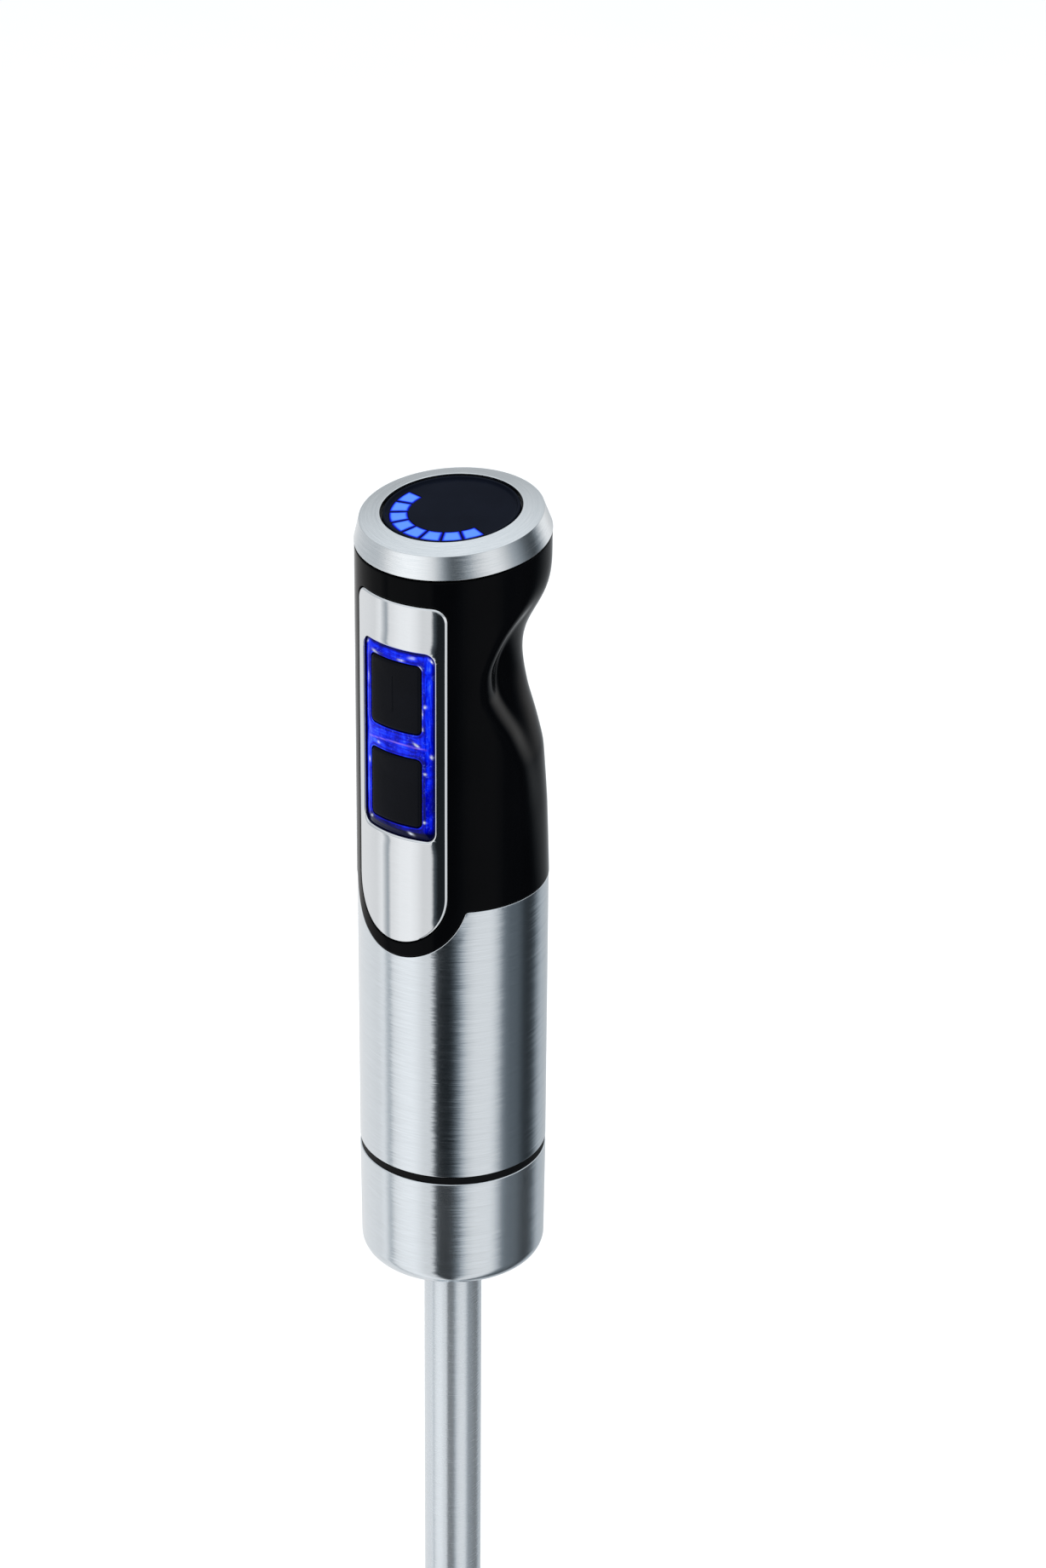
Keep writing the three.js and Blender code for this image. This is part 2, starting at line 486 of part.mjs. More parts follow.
for (let i = 0; i < 2; i++) {
  const a = i * 180 * RAD;
  const s = turned([[0, 206.6], [2.9, 206.6], [2.9, 209.1], [1.45, 209.1], [1.45, 216.2], [0, 216.2]], 12)
    .translate([16 * Math.cos(a), 16 * Math.sin(a), 0]);
  piece(`end_cap_screw_${i + 1}`, s, 'iron');
}
{
  let lower = turned([
    [4.6, 213.4], [25.8, 213.4], [25.8, 217.4], [12.4, 217.4], [12.4, 224.2], [9.65, 224.2], [9.65, 217.6],
    [4.6, 217.6],
  ], INNER);
  for (let i = 0; i < 2; i++) {
    const a = i * 180 * RAD;
    lower = lower.subtract(rod(1.6, 212, 216.8, 12).translate([16 * Math.cos(a), 16 * Math.sin(a), 0]));
  }
  // two pillars that stand beside the fan and carry the laminated field
  for (const side of [-1, 1]) {
    const y0 = side < 0 ? -25.7 : 22.9;
    lower = lower.add(box(-7, 7, y0, y0 + 2.8, 216, 250.7).intersect(rod(25.7, 210, 260, INNER)));
  }
  piece('lower_motor_bracket', lower, 'white');
  piece('lower_bearing', ring(SHAFT_R + 0.05, 9.5, 217.8, 223.8, MID), 'steel');

  let upper = turned([
    [5.2, 305.2], [25.6, 305.2], [25.6, 308.4], [12.4, 308.4], [12.4, 316.2], [9.65, 316.2], [9.65, 308.8],
    [5.2, 308.8],
  ], INNER);
  for (const side of [-1, 1]) {
    const y0 = side < 0 ? -25.4 : 17.6;
    upper = upper.add(box(-6, 6, y0, y0 + 7.8, 279.4, 306).intersect(rod(25.6, 270, 310, INNER)));
    upper = upper.subtract(rod(1.65, 290, 312, 12).translate([0, side * 21.4, 0]));
  }
  piece('upper_motor_bracket', upper, 'white');
  piece('upper_bearing', ring(SHAFT_R + 0.05, 9.5, 309.2, 315.2, MID), 'steel');
  [-21.4, 21.4].forEach((y, i) => {
    piece(`motor_screw_${i + 1}`, turned([[0, 291], [1.45, 292], [1.45, 308.7], [3.1, 308.7], [3.1, 310.4],
      [0, 310.4]], 12).translate([0, y, 0]), 'iron');
  });
}
{
  // laminated field: flat-sided yoke with two poles, faces towards +X and -X
  const stack = rod(25.5, 251, 279, 40).intersect(box(-25.5, 25.5, -20.6, 20.6, 250, 280));
  let cut = rod(12.75, 250, 280, 32).add(box(-8.6, 8.6, -16.4, 16.4, 250, 280));
  for (const sx of [-1, 1]) for (const sy of [-1, 1]) {
    const x0 = sx < 0 ? -19.0 : 14.6;
    const y0 = sy < 0 ? -15.4 : 7.6;
    cut = cut.add(box(x0, x0 + 4.4, y0, y0 + 7.8, 250, 280));
    const x1 = sx < 0 ? -15.2 : 8.0;
    const y1 = sy < 0 ? -15.4 : 12.4;
    cut = cut.add(box(x1, x1 + 7.2, y1, y1 + 3.0, 250, 280));
  }
  piece('field_stack', stack.subtract(cut), 'iron');
  for (const sx of [-1, 1]) {
    // winding round one pole neck: a rounded frame standing in the YZ plane
    const outer = roundedRect(-15.0, 15.0, 244.5, 285.5, 5, 4);
    const inner = roundedRect(-8.1, 8.1, 250.4, 279.6, 0.8, 2).reverse();
    const shape = new THREE.Shape(outer.map(([a, b]) => new THREE.Vector2(a, b)));
    shape.holes.push(new THREE.Path(inner.map(([a, b]) => new THREE.Vector2(a, b))));
    const g = new THREE.ExtrudeGeometry(shape, { depth: 3.6, bevelEnabled: false, steps: 1 })
      .rotateX(Math.PI / 2).rotateZ(Math.PI / 2).translate(sx < 0 ? -18.6 : 15.0, 0, 0);
    piece(sx < 0 ? 'field_coil_left' : 'field_coil_right', solid(g), 'copper');
  }
}
{
  const shaft = turned([[0, 199.6], [2.6, 199.6], [SHAFT_R, 200.2], [SHAFT_R, 316.8], [2.6, 317.4], [0, 317.4]], MID);
  piece('motor_shaft', shaft, 'steel');

  // twelve-slot core, its end windings, commutator and cooling fan
  const outline = [];
  for (let i = 0; i < 12; i++) {
    for (const [t, r] of [[0.0, 12.2], [0.33, 12.2], [0.67, 12.2], [0.72, 11.4], [0.62, 10.6], [0.62, 7.4],
      [1.10, 7.4], [1.10, 10.6], [1.0, 11.4]]) {
      const a = (i + t) * 30 * RAD;
      outline.push([r * Math.cos(a), r * Math.sin(a)]);
    }
  }
  const hole = arcPoints(0, 0, SHAFT_R + 0.1, 360, 0, 24).slice(0, -1);
  piece('armature_core', plate(outline, 250.5, 279.5, [hole]), 'iron');
  piece('armature_winding_lower', turned([[SHAFT_R + 0.6, 243.2], [9.4, 243.2], [11.6, 245.0], [11.0, 250.2],
    [SHAFT_R + 0.6, 250.2]], MID), 'copper');
  piece('armature_winding_upper', turned([[SHAFT_R + 0.6, 279.8], [11.0, 279.8], [11.4, 284.4],
    [8.6, 287.6], [SHAFT_R + 0.6, 287.6]], MID), 'copper');
  piece('commutator', turned([[SHAFT_R + 0.1, 288.0], [9.6, 288.0], [9.6, 289.6], [8.4, 289.8], [8.4, 302.4],
    [SHAFT_R + 0.1, 302.4]], MID), 'copper');
  let fan = ring(SHAFT_R + 0.1, 5.4, 226.2, 238.6, MID).add(ring(SHAFT_R + 0.1, 21.8, 236.6, 238.2, INNER));
  for (let i = 0; i < 9; i++) {
    fan = fan.add(solid(new THREE.BoxGeometry(15.0, 1.2, 9.0).translate(14.0, 0, 232.3)
      .rotateZ(i * 40 * RAD)));
  }
  piece('cooling_fan', fan, 'nylon');
  // female half of the coupling: a cup with six grooves that takes the dog
  let socket = turned([[SHAFT_R + 0.1, 199.9], [11.0, 199.9], [11.0, 190.8], [8.9, 190.8], [8.9, 197.4],
    [5.6, 197.4], [5.6, 198.4], [SHAFT_R + 0.1, 198.4]], MID)
    .add(ring(SHAFT_R + 0.1, 5.6, 199.4, 205.6, MID));
  for (let i = 0; i < 6; i++) {
    socket = socket.add(solid(new THREE.BoxGeometry(2.4, 1.6, 4.6).translate(8.4, 0, 194.2)
      .rotateZ((30 + i * 60) * RAD)));
  }
  piece('drive_coupling', socket, 'white');
}
for (const sx of [-1, 1]) {
  const side = sx < 0 ? 'left' : 'right';
  const [b0, b1] = sx < 0 ? [-21.5, -8.75] : [8.75, 21.5];
  const [h0, h1] = sx < 0 ? [-24.2, -11.2] : [11.2, 24.2];
  piece(`carbon_brush_${side}`, box(b0, b1, -2.9, 2.9, 293.0, 299.0), 'carbon');
  let holder = box(h0, h1, -4.6, 4.6, 291.2, 304.9);
  holder = holder.subtract(box(sx < 0 ? -22.4 : 8, sx < 0 ? -8 : 22.4, -3.1, 3.1, 292.8, 299.2));
  piece(`brush_holder_${side}`, holder.intersect(rod(25.4, 280, 310, INNER)), 'brass');
}
piece('control_board', box(-15.0, 15.0, 5.1, 6.7, 328, 396), 'board');
piece('suppression_capacitor', box(-9.5, 9.5, -5.4, 4.8, 332, 349), 'white');

{
  // bushing that holds and seals the cord where it enters the upper back
  const g = turned([
    [3.4, 23.4], [5.2, 23.4], [4.3, 25.0], [4.3, 29.5], [6.2, 29.7], [6.2, 30.6], [5.2, 31.4], [3.4, 31.4],
  ], 20);
  const m = geometryOf(g).rotateX(-Math.PI / 2).translate(0, 0, 403);
  piece('cord_gland', solid(m), 'rubber');
}

export default blender;
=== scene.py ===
import math

import bmesh
import bpy
import numpy as np
from mathutils import Matrix, Vector
from mathutils.geometry import delaunay_2d_cdt
from mathutils.kdtree import KDTree


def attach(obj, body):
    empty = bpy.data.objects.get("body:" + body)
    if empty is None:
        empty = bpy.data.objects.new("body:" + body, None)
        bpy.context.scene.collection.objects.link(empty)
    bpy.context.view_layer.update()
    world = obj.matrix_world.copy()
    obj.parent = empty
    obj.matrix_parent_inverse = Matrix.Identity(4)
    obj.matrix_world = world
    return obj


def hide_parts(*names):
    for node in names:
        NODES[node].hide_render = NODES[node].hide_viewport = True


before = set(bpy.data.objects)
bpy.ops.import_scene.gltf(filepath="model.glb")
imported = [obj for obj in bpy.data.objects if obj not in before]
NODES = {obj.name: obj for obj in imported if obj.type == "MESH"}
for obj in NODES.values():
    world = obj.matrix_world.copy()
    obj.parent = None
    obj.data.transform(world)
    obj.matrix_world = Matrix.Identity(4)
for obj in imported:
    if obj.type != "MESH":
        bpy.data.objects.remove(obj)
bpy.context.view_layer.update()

MM = 0.001
scene = bpy.context.scene
scene.view_settings.view_transform = "Standard"
scene.view_settings.look = "None"

# ------------------------------------------------------------------ dimensions (mm)
R0 = 29.3                      # radius of the handle, on which arc lengths are measured
TILT = math.radians(6.8)       # the dial leans towards the buttons
DIAL_Z = 411.68
DIAL = Matrix.Translation((0, 0, DIAL_Z * MM)) @ Matrix.Rotation(TILT, 4, "X")
SEAM_TOP, SLEEVE_TOP = 208.0, 300.2
U_R, U_Z = 24.0, 306.9
WINDOW = (13.55, 323.6, 384.7)
BUTTONS = {"upper": (358.5, 380.4), "lower": (327.9, 350.0)}
BACK = [(300, 29.3), (313.5, 28.9), (325, 28.5), (334, 27.9), (344, 27.2), (353.2, 25.0), (361.9, 22.5),
        (368.7, 21.2), (374.4, 20.55), (379.2, 20.75), (384, 21.9), (388, 23.7), (392, 25.9),
        (396, 27.9), (400, 28.95), (404.5, 29.3), (430, 29.3)]
EDGE = [(300, 78), (323, 78), (336, 77), (346, 73), (355.4, 66), (362, 57), (368, 49.5), (376.5, 49.5),
        (382, 54), (388.8, 61), (392.4, 67), (398, 76), (430, 84)]


# ------------------------------------------------------------------ curves and tables
def smooth_table(rows, sigma):
    z = np.arange(280.0, 450.0, 0.25)
    x = np.array([r[0] for r in rows], float)
    y = np.array([r[1] for r in rows], float)
    v = np.interp(z, x, y)
    k = np.arange(-40, 41) * 0.25
    w = np.exp(-0.5 * (k / sigma) ** 2)
    w /= w.sum()
    v = np.convolve(np.pad(v, 40, mode="edge"), w, mode="valid")
    return z, v


_BACK = smooth_table(BACK, 1.7)
_EDGE = smooth_table(EDGE, 2.2)


def handle_radius(u, z):
    """outside radius of the black handle; u is the arc length from the front"""
    deg = np.degrees(np.asarray(u, float) / R0)
    deg = (deg + 180.0) % 360.0 - 180.0
    back = np.interp(z, *_BACK)
    edge = np.interp(z, *_EDGE)
    t = np.clip((np.abs(deg) - edge + 1.0) / 32.0, 0, 1)
    t = t * t * t * (t * (6 * t - 15) + 10)
    return R0 - (R0 - back) * t


def arc(cx, cy, r, a0, a1, n):
    a = np.radians(np.linspace(a0, a1, n + 1))
    return np.c_[cx + r * np.cos(a), cy + r * np.sin(a)]


def line(p, q, n):
    t = np.linspace(0, 1, n + 1)[:-1, None]
    return (1 - t) * np.array(p, float) + t * np.array(q, float)


def rrect(x0, x1, y0, y1, r, nc=8, nx=12, ny=16):
    """rounded rectangle, counter-clockwise, always with the same number of points"""
    corners = [(x1 - r, y0 + r, -90), (x1 - r, y1 - r, 0), (x0 + r, y1 - r, 90), (x0 + r, y0 + r, 180)]
    out = []
    for i, (cx, cy, a) in enumerate(corners):
        c = arc(cx, cy, r, a, a + 90, nc)
        nx_, ny_, na = corners[(i + 1) % 4]
        q = (nx_ + r * math.cos(math.radians(na)), ny_ + r * math.sin(math.radians(na)))
        out += [c[:-1], line(c[-1], q, ny if i % 2 == 0 else nx)]
    return np.vstack(out)


def plate_outline(d):
    h, c, top = 17.35 + d, 4.6 + d, 399.6 + d
    return np.vstack([
        arc(0, 305.15, h, 180, 360, 60)[:-1], line((h, 305.15), (h, top - c), 44),
        arc(h - c, top - c, c, 0, 90, 12)[:-1], line((h - c, top), (-h + c, top), 18),
        arc(-h + c, top - c, c, 90, 180, 12)[:-1], line((-h, top - c), (-h, 305.15), 44)])


def window_outline(d):
    return rrect(-WINDOW[0] - d, WINDOW[0] + d, WINDOW[1] - d, WINDOW[2] + d, 3.0 + d, 10, 18, 40)


CORNER = 1.3                   # rounding where the sleeve's top edge turns into the notch
_FZ = SLEEVE_TOP - CORNER
_FS = math.sqrt((U_R + CORNER) ** 2 - (U_Z - _FZ) ** 2)
_FA = math.degrees(math.atan2(U_Z - _FZ, _FS))


def notch_chain(d, low, high, n_line=60):
    """upper edge of the sleeve from u = low to u = high, moved d into the steel"""
    r = CORNER - d
    left = line((low, _FZ + r), (-_FS, _FZ + r), n_line // 2)
    f1 = arc(-_FS, _FZ, r, 90, _FA, 9)[:-1]
    bow = arc(0, U_Z, U_R + d, 180 + _FA, 360 - _FA, 64)[:-1]
    f2 = arc(_FS, _FZ, r, 180 - _FA, 90, 9)[:-1]
    right = line((_FS, _FZ + r), (high, _FZ + r), n_line)
    return np.vstack([left, f1, bow, f2, right, [[high, _FZ + r]]])


def fillet(points, closed=True, step=16.0):
    """[(x, y, radius)] to a polyline with round corners"""
    n = len(points)
    out = []
    for i, (x, y, *rest) in enumerate(points):
        r = rest[0] if rest else 0.0
        p = np.array([x, y], float)
        if r <= 0 or (not closed and i in (0, n - 1)):
            out.append(p[None])
            continue
        a = np.array(points[i - 1][:2], float) - p
        b = np.array(points[(i + 1) % n][:2], float) - p
        la, lb = np.linalg.norm(a), np.linalg.norm(b)
        a, b = a / la, b / lb
        half = 0.5 * math.acos(float(np.clip(a @ b, -1, 1)))
        if half > math.radians(88.5):
            out.append(p[None])
            continue
        t = min(r / math.tan(half), 0.49 * la, 0.49 * lb)
        rr = t * math.tan(half)
        m = (a + b) / np.linalg.norm(a + b)
        c = p + m * rr / math.sin(half)
        s, e = p + a * t - c, p + b * t - c
        turn = math.pi - 2 * half
        k = max(2, int(math.ceil(math.degrees(turn) / step)))
        sgn = 1.0 if s[0] * e[1] - s[1] * e[0] > 0 else -1.0
        ang = sgn * np.linspace(0, turn, k + 1)
        out.append(np.c_[c[0] + s[0] * np.cos(ang) - s[1] * np.sin(ang),
                         c[1] + s[0] * np.sin(ang) + s[1] * np.cos(ang)])
    return np.vstack(out)


# ------------------------------------------------------------------ mesh building
class Shape:
    """vertices in millimetres and faces, put together bit by bit"""

    def __init__(self):
        self.v, self.f, self.n, self.at = [], [], 0, {}

    def pts(self, p, **attrs):
        p = np.asarray(p, float).reshape(-1, 3)
        base = self.n
        self.v.append(p)
        self.n += len(p)
        for k, val in attrs.items():
            self.at.setdefault(k, []).append((base, np.broadcast_to(np.asarray(val, float), (len(p),)).copy()))
        return np.arange(base, base + len(p))

    def tris(self, idx, t):
        idx = np.asarray(idx)
        self.f.extend(tuple(int(i) for i in idx[list(tri)]) for tri in t)

    def band(self, a, b, closed=True):
        n = len(a)
        for i in range(n if closed else n - 1):
            j = (i + 1) % n
            self.f.append((int(a[i]), int(a[j]), int(b[j]), int(b[i])))

    def fan(self, loop, c, closed=True):
        n = len(loop)
        for i in range(n if closed else n - 1):
            self.f.append((int(loop[i]), int(loop[(i + 1) % n]), int(c)))

    def lathe(self, profile, n=160, closed=True, phase=0.0, **attrs):
        a = np.arange(n) * 2 * math.pi / n + phase
        rings = []
        for r, z in profile:
            if r < 1e-6:
                rings.append((True, self.pts([[0, 0, z]], **attrs)))
            else:
                rings.append((False, self.pts(np.c_[r * np.sin(a), -r * np.cos(a), np.full(n, z)], **attrs)))
        m = len(rings)
        for i in range(m if closed else m - 1):
            (pa, ra), (pb, rb) = rings[i], rings[(i + 1) % m]
            if pa and pb:
                continue
            if pa:
                self.fan(rb, ra[0])
            elif pb:
                self.fan(ra, rb[0])
            else:
                self.band(ra, rb)
        return rings

    def make(self, name, mat, body, replaces=(), matrix=None, weld=0.002, sharp=38.0, weighted=True):
        me = bpy.data.meshes.new(name)
        v = np.vstack(self.v) * MM
        if matrix is not None:
            m = np.array(matrix)
            v = v @ m[:3, :3].T + m[:3, 3]
        me.from_pydata([tuple(p) for p in v], [], self.f)
        for k, parts in self.at.items():
            at = me.attributes.new(k, "FLOAT", "POINT")
            full = np.zeros(self.n, np.float32)
            for base, val in parts:
                full[base:base + len(val)] = val
            at.data.foreach_set("value", full)
        bm = bmesh.new()
        bm.from_mesh(me)
        bmesh.ops.remove_doubles(bm, verts=bm.verts, dist=weld * MM)
        bmesh.ops.dissolve_degenerate(bm, edges=bm.edges, dist=1e-7)
        bmesh.ops.recalc_face_normals(bm, faces=bm.faces)
        for f in bm.faces:
            f.smooth = True
        bm.to_mesh(me)
        bm.free()
        me.set_sharp_from_angle(angle=math.radians(sharp))
        me.materials.append(mat)
        ob = bpy.data.objects.new(name, me)
        scene.collection.objects.link(ob)
        if weighted:
            mod = ob.modifiers.new("normals", "WEIGHTED_NORMAL")
            mod.mode = "FACE_AREA"
            mod.keep_sharp = True
            mod.weight = 60
        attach(ob, body)
        if replaces:
            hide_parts(*replaces)
        return ob


def inside(poly, p):
    """which points lie in the polygon"""
    poly = np.asarray(poly, float)
    x, y = p[:, 0], p[:, 1]
    res = np.zeros(len(p), bool)
    x0, y0 = poly[:, 0], poly[:, 1]
    x1, y1 = np.roll(x0, -1), np.roll(y0, -1)
    for a, b, c, d in zip(x0, y0, x1, y1):
        if b == d:
            continue
        hit = ((b > y) != (d > y)) & (x < (c - a) * (y - b) / (d - b) + a)
        res ^= hit
    return res


def dense(loop, step, closed=True):
    q = np.vstack([loop, loop[:1]]) if closed else loop
    out = []
    for a, b in zip(q[:-1], q[1:]):
        k = max(1, int(math.ceil(np.linalg.norm(b - a) / step)))
        out.append(line(a, b, k))
    return np.vstack(out)


def distance(p, loops, step=0.25):
    """how far each point is from the nearest loop"""
    d = np.vstack([dense(np.asarray(l, float), step) for l in loops])
    tree = KDTree(len(d))
    for i, q in enumerate(d):
        tree.insert((q[0], q[1], 0), i)
    tree.balance()
    return np.array([tree.find((q[0], q[1], 0))[2] for q in p])


def fill(outer, holes, step, clear=0.6, extra=None):
    """evenly triangulated area inside outer and outside the holes; the loops' points come first"""
    loops = [np.asarray(outer, float)] + [np.asarray(h, float) for h in holes]
    edges, base = [], 0
    for l in loops:
        n = len(l)
        edges += [(base + i, base + (i + 1) % n) for i in range(n)]
        base += n
    border = np.vstack(loops)
    lo, hi = border.min(0), border.max(0)
    rows = []
    for k, y in enumerate(np.arange(lo[1] + 0.4 * step, hi[1], step * 0.866)):
        xs = np.arange(lo[0] + (0.25 if k % 2 else 0.75) * step, hi[0], step)
        rows.append(np.c_[xs, np.full(len(xs), y)])
    g = np.vstack(rows) if rows else np.zeros((0, 2))
    if extra is not None:
        g = np.vstack([g, extra])

    def keep(p):
        m = inside(loops[0], p)
        for h in loops[1:]:
            m &= ~inside(h, p)
        return m

    g = g[keep(g)]
    if len(g):
        g = g[distance(g, loops, step * 0.4) > clear * step]
    p = np.vstack([border, g])
    out = delaunay_2d_cdt([Vector(q) for q in p], edges, [], 0, 1e-6)
    orig = [o[0] for o in out[3]]
    tris = np.array([[orig[i] for i in f] for f in out[2] if len(f) == 3], int)
    tris = tris[keep(p[tris].mean(1))]
    spans, base = [], 0
    for l in loops:
        spans.append(np.arange(base, base + len(l)))
        base += len(l)
    return p, tris, spans


def round_pos(p, r):
    """(arc length, z) on the cylinder of radius r, square to its surface"""
    a = p[:, 0] / R0
    return np.c_[r * np.sin(a), -r * np.cos(a), p[:, 1]]


def front_pos(p, r):
    """the same on the front, but with walls that run straight back"""
    x = R0 * np.sin(p[:, 0] / R0)
    r = np.broadcast_to(np.asarray(r, float), x.shape)
    return np.c_[x, -np.sqrt(np.maximum(r * r - x * x, 1e-6)), p[:, 1]]


def quarter(f, n=4):
    """(how far out, how far down) along a quarter round of radius f, from the flat to the wall"""
    a = np.linspace(0, math.pi / 2, n + 1)
    return [(f * (1 - math.sin(t)), f * (1 - math.cos(t))) for t in a]


# ------------------------------------------------------------------ materials
class Mat:
    """a node material put together call by call"""

    def __init__(self, name):
        self.m = bpy.data.materials.new(name)
        self.m.use_nodes = True
        self.nt = self.m.node_tree
        self.nt.nodes.clear()
        self.out = self.nt.nodes.new("ShaderNodeOutputMaterial")
        self.b = self.nt.nodes.new("ShaderNodeBsdfPrincipled")
        self.link(self.b.outputs[0], self.out.inputs["Surface"])
        self.co = self.nt.nodes.new("ShaderNodeTexCoord").outputs["Object"]

    def link(self, a, b):
        self.nt.links.new(a, b)

    def put(self, socket, value):
        if hasattr(value, "is_output"):
            self.link(value, socket)
        else:
            socket.default_value = value

    def set(self, **kw):
        names = {"color": "Base Color", "metal": "Metallic", "rough": "Roughness", "spec": "Specular IOR Level",
                 "coat": "Coat Weight", "coat_rough": "Coat Roughness", "aniso": "Anisotropic",
                 "aniso_rot": "Anisotropic Rotation", "tangent": "Tangent", "normal": "Normal",
                 "emit": "Emission Color", "emit_strength": "Emission Strength", "ior": "IOR",
                 "trans": "Transmission Weight", "sheen": "Sheen Weight"}
        for k, v in kw.items():
            if k in ("color", "emit") and isinstance(v, tuple) and len(v) == 3:
                v = (*v, 1.0)
            self.put(self.b.inputs[names[k]], v)
        return self

    def math(self, op, a, b=None, c=None, clamp=False):
        n = self.nt.nodes.new("ShaderNodeMath")
        n.operation = op
        n.use_clamp = clamp
        for s, v in zip(n.inputs, (a, b, c)):
            if v is not None:
                self.put(s, v)
        return n.outputs[0]

    def xyz(self, vec):
        n = self.nt.nodes.new("ShaderNodeSeparateXYZ")
        self.link(vec, n.inputs[0])
        return n.outputs

    def vec(self, x, y, z):
        n = self.nt.nodes.new("ShaderNodeCombineXYZ")
        for s, v in zip(n.inputs, (x, y, z)):
            self.put(s, v)
        return n.outputs[0]

    def scaled(self, sx, sy, sz, vec=None):
        n = self.nt.nodes.new("ShaderNodeMapping")
        n.inputs["Scale"].default_value = (sx, sy, sz)
        self.link(vec if vec is not None else self.co, n.inputs["Vector"])
        return n.outputs[0]

    def noise(self, vec, scale=1.0, detail=3.0, rough=0.55, distort=0.0):
        n = self.nt.nodes.new("ShaderNodeTexNoise")
        self.link(vec, n.inputs["Vector"])
        n.inputs["Scale"].default_value = scale
        n.inputs["Detail"].default_value = detail
        n.inputs["Roughness"].default_value = rough
        n.inputs["Distortion"].default_value = distort
        return n.outputs[0]

    def voronoi(self, vec, scale=1.0, feature="F1"):
        n = self.nt.nodes.new("ShaderNodeTexVoronoi")
        n.feature = feature
        self.link(vec, n.inputs["Vector"])
        n.inputs["Scale"].default_value = scale
        return n.outputs[0]

    def ramp(self, fac, stops, interp="LINEAR"):
        n = self.nt.nodes.new("ShaderNodeValToRGB")
        n.color_ramp.interpolation = interp
        els = n.color_ramp.elements
        while len(els) > len(stops):
            els.remove(els[-1])
        while len(els) < len(stops):
            els.new(1.0)
        for e, (p, c) in zip(els, stops):
            e.position = p
            e.color = (c, c, c, 1) if isinstance(c, (int, float)) else (*c, 1)
        self.link(fac, n.inputs[0])
        return n.outputs[0]

    def span(self, fac, a0, a1, b0, b1):
        n = self.nt.nodes.new("ShaderNodeMapRange")
        self.put(n.inputs["Value"], fac)
        for k, v in (("From Min", a0), ("From Max", a1), ("To Min", b0), ("To Max", b1)):
            n.inputs[k].default_value = v
        return n.outputs[0]

    def mix(self, fac, a, b, mode="MIX"):
        n = self.nt.nodes.new("ShaderNodeMix")
        n.data_type = "RGBA"
        n.blend_type = mode
        self.put(n.inputs[0], fac)
        for s, v in ((n.inputs[6], a), (n.inputs[7], b)):
            if isinstance(v, tuple) and len(v) == 3:
                v = (*v, 1.0)
            self.put(s, v)
        return n.outputs[2]

    def attr(self, name):
        n = self.nt.nodes.new("ShaderNodeAttribute")
        n.attribute_name = name
        return n.outputs["Fac"]

    def bump(self, height, strength, dist, normal=None):
        n = self.nt.nodes.new("ShaderNodeBump")
        n.inputs["Strength"].default_value = strength
        n.inputs["Distance"].default_value = dist
        self.link(height, n.inputs["Height"])
        if normal is not None:
            self.link(normal, n.inputs["Normal"])
        return n.outputs[0]

    def tangent(self, axis="Z"):
        n = self.nt.nodes.new("ShaderNodeTangent")
        n.direction_type = "RADIAL"
        n.axis = axis
        return n.outputs[0]

    def combed(self, normal, tangent, amount):
        """normal leaned along the brushing by a signed amount"""
        a = self.nt.nodes.new("ShaderNodeVectorMath")
        a.operation = "SCALE"
        self.link(tangent, a.inputs[0])
        self.link(amount, a.inputs["Scale"])
        b = self.nt.nodes.new("ShaderNodeVectorMath")
        b.operation = "ADD"
        self.link(normal, b.inputs[0])
        self.link(a.outputs[0], b.inputs[1])
        c = self.nt.nodes.new("ShaderNodeVectorMath")
        c.operation = "NORMALIZE"
        self.link(b.outputs[0], c.inputs[0])
        return c.outputs[0]

    def edges(self, radius=0.0006):
        """1 on convex edges, 0 on flats"""
        b = self.nt.nodes.new("ShaderNodeBevel")
        b.samples = 4
        b.inputs["Radius"].default_value = radius
        g = self.nt.nodes.new("ShaderNodeNewGeometry")
        d = self.nt.nodes.new("ShaderNodeVectorMath")
        d.operation = "DOT_PRODUCT"
        self.link(b.outputs[0], d.inputs[0])
        self.link(g.outputs["Normal"], d.inputs[1])
        return self.math("MULTIPLY", self.math("SUBTRACT", 1.0, d.outputs["Value"]), 6.0, clamp=True)


def round_coords(m, across, along, dx=0.8, dy=0.6):
    """coordinates whose first two run across turned brushing and whose third runs slowly along it"""
    x, y, z = m.xyz(m.co)
    r = m.math("SQRT", m.math("ADD", m.math("MULTIPLY", x, x), m.math("MULTIPLY", y, y)))
    s = m.math("ADD", m.math("MULTIPLY", x, dx * along), m.math("MULTIPLY", y, dy * along))
    return m.vec(m.math("MULTIPLY", r, across), m.math("MULTIPLY", z, across), s)


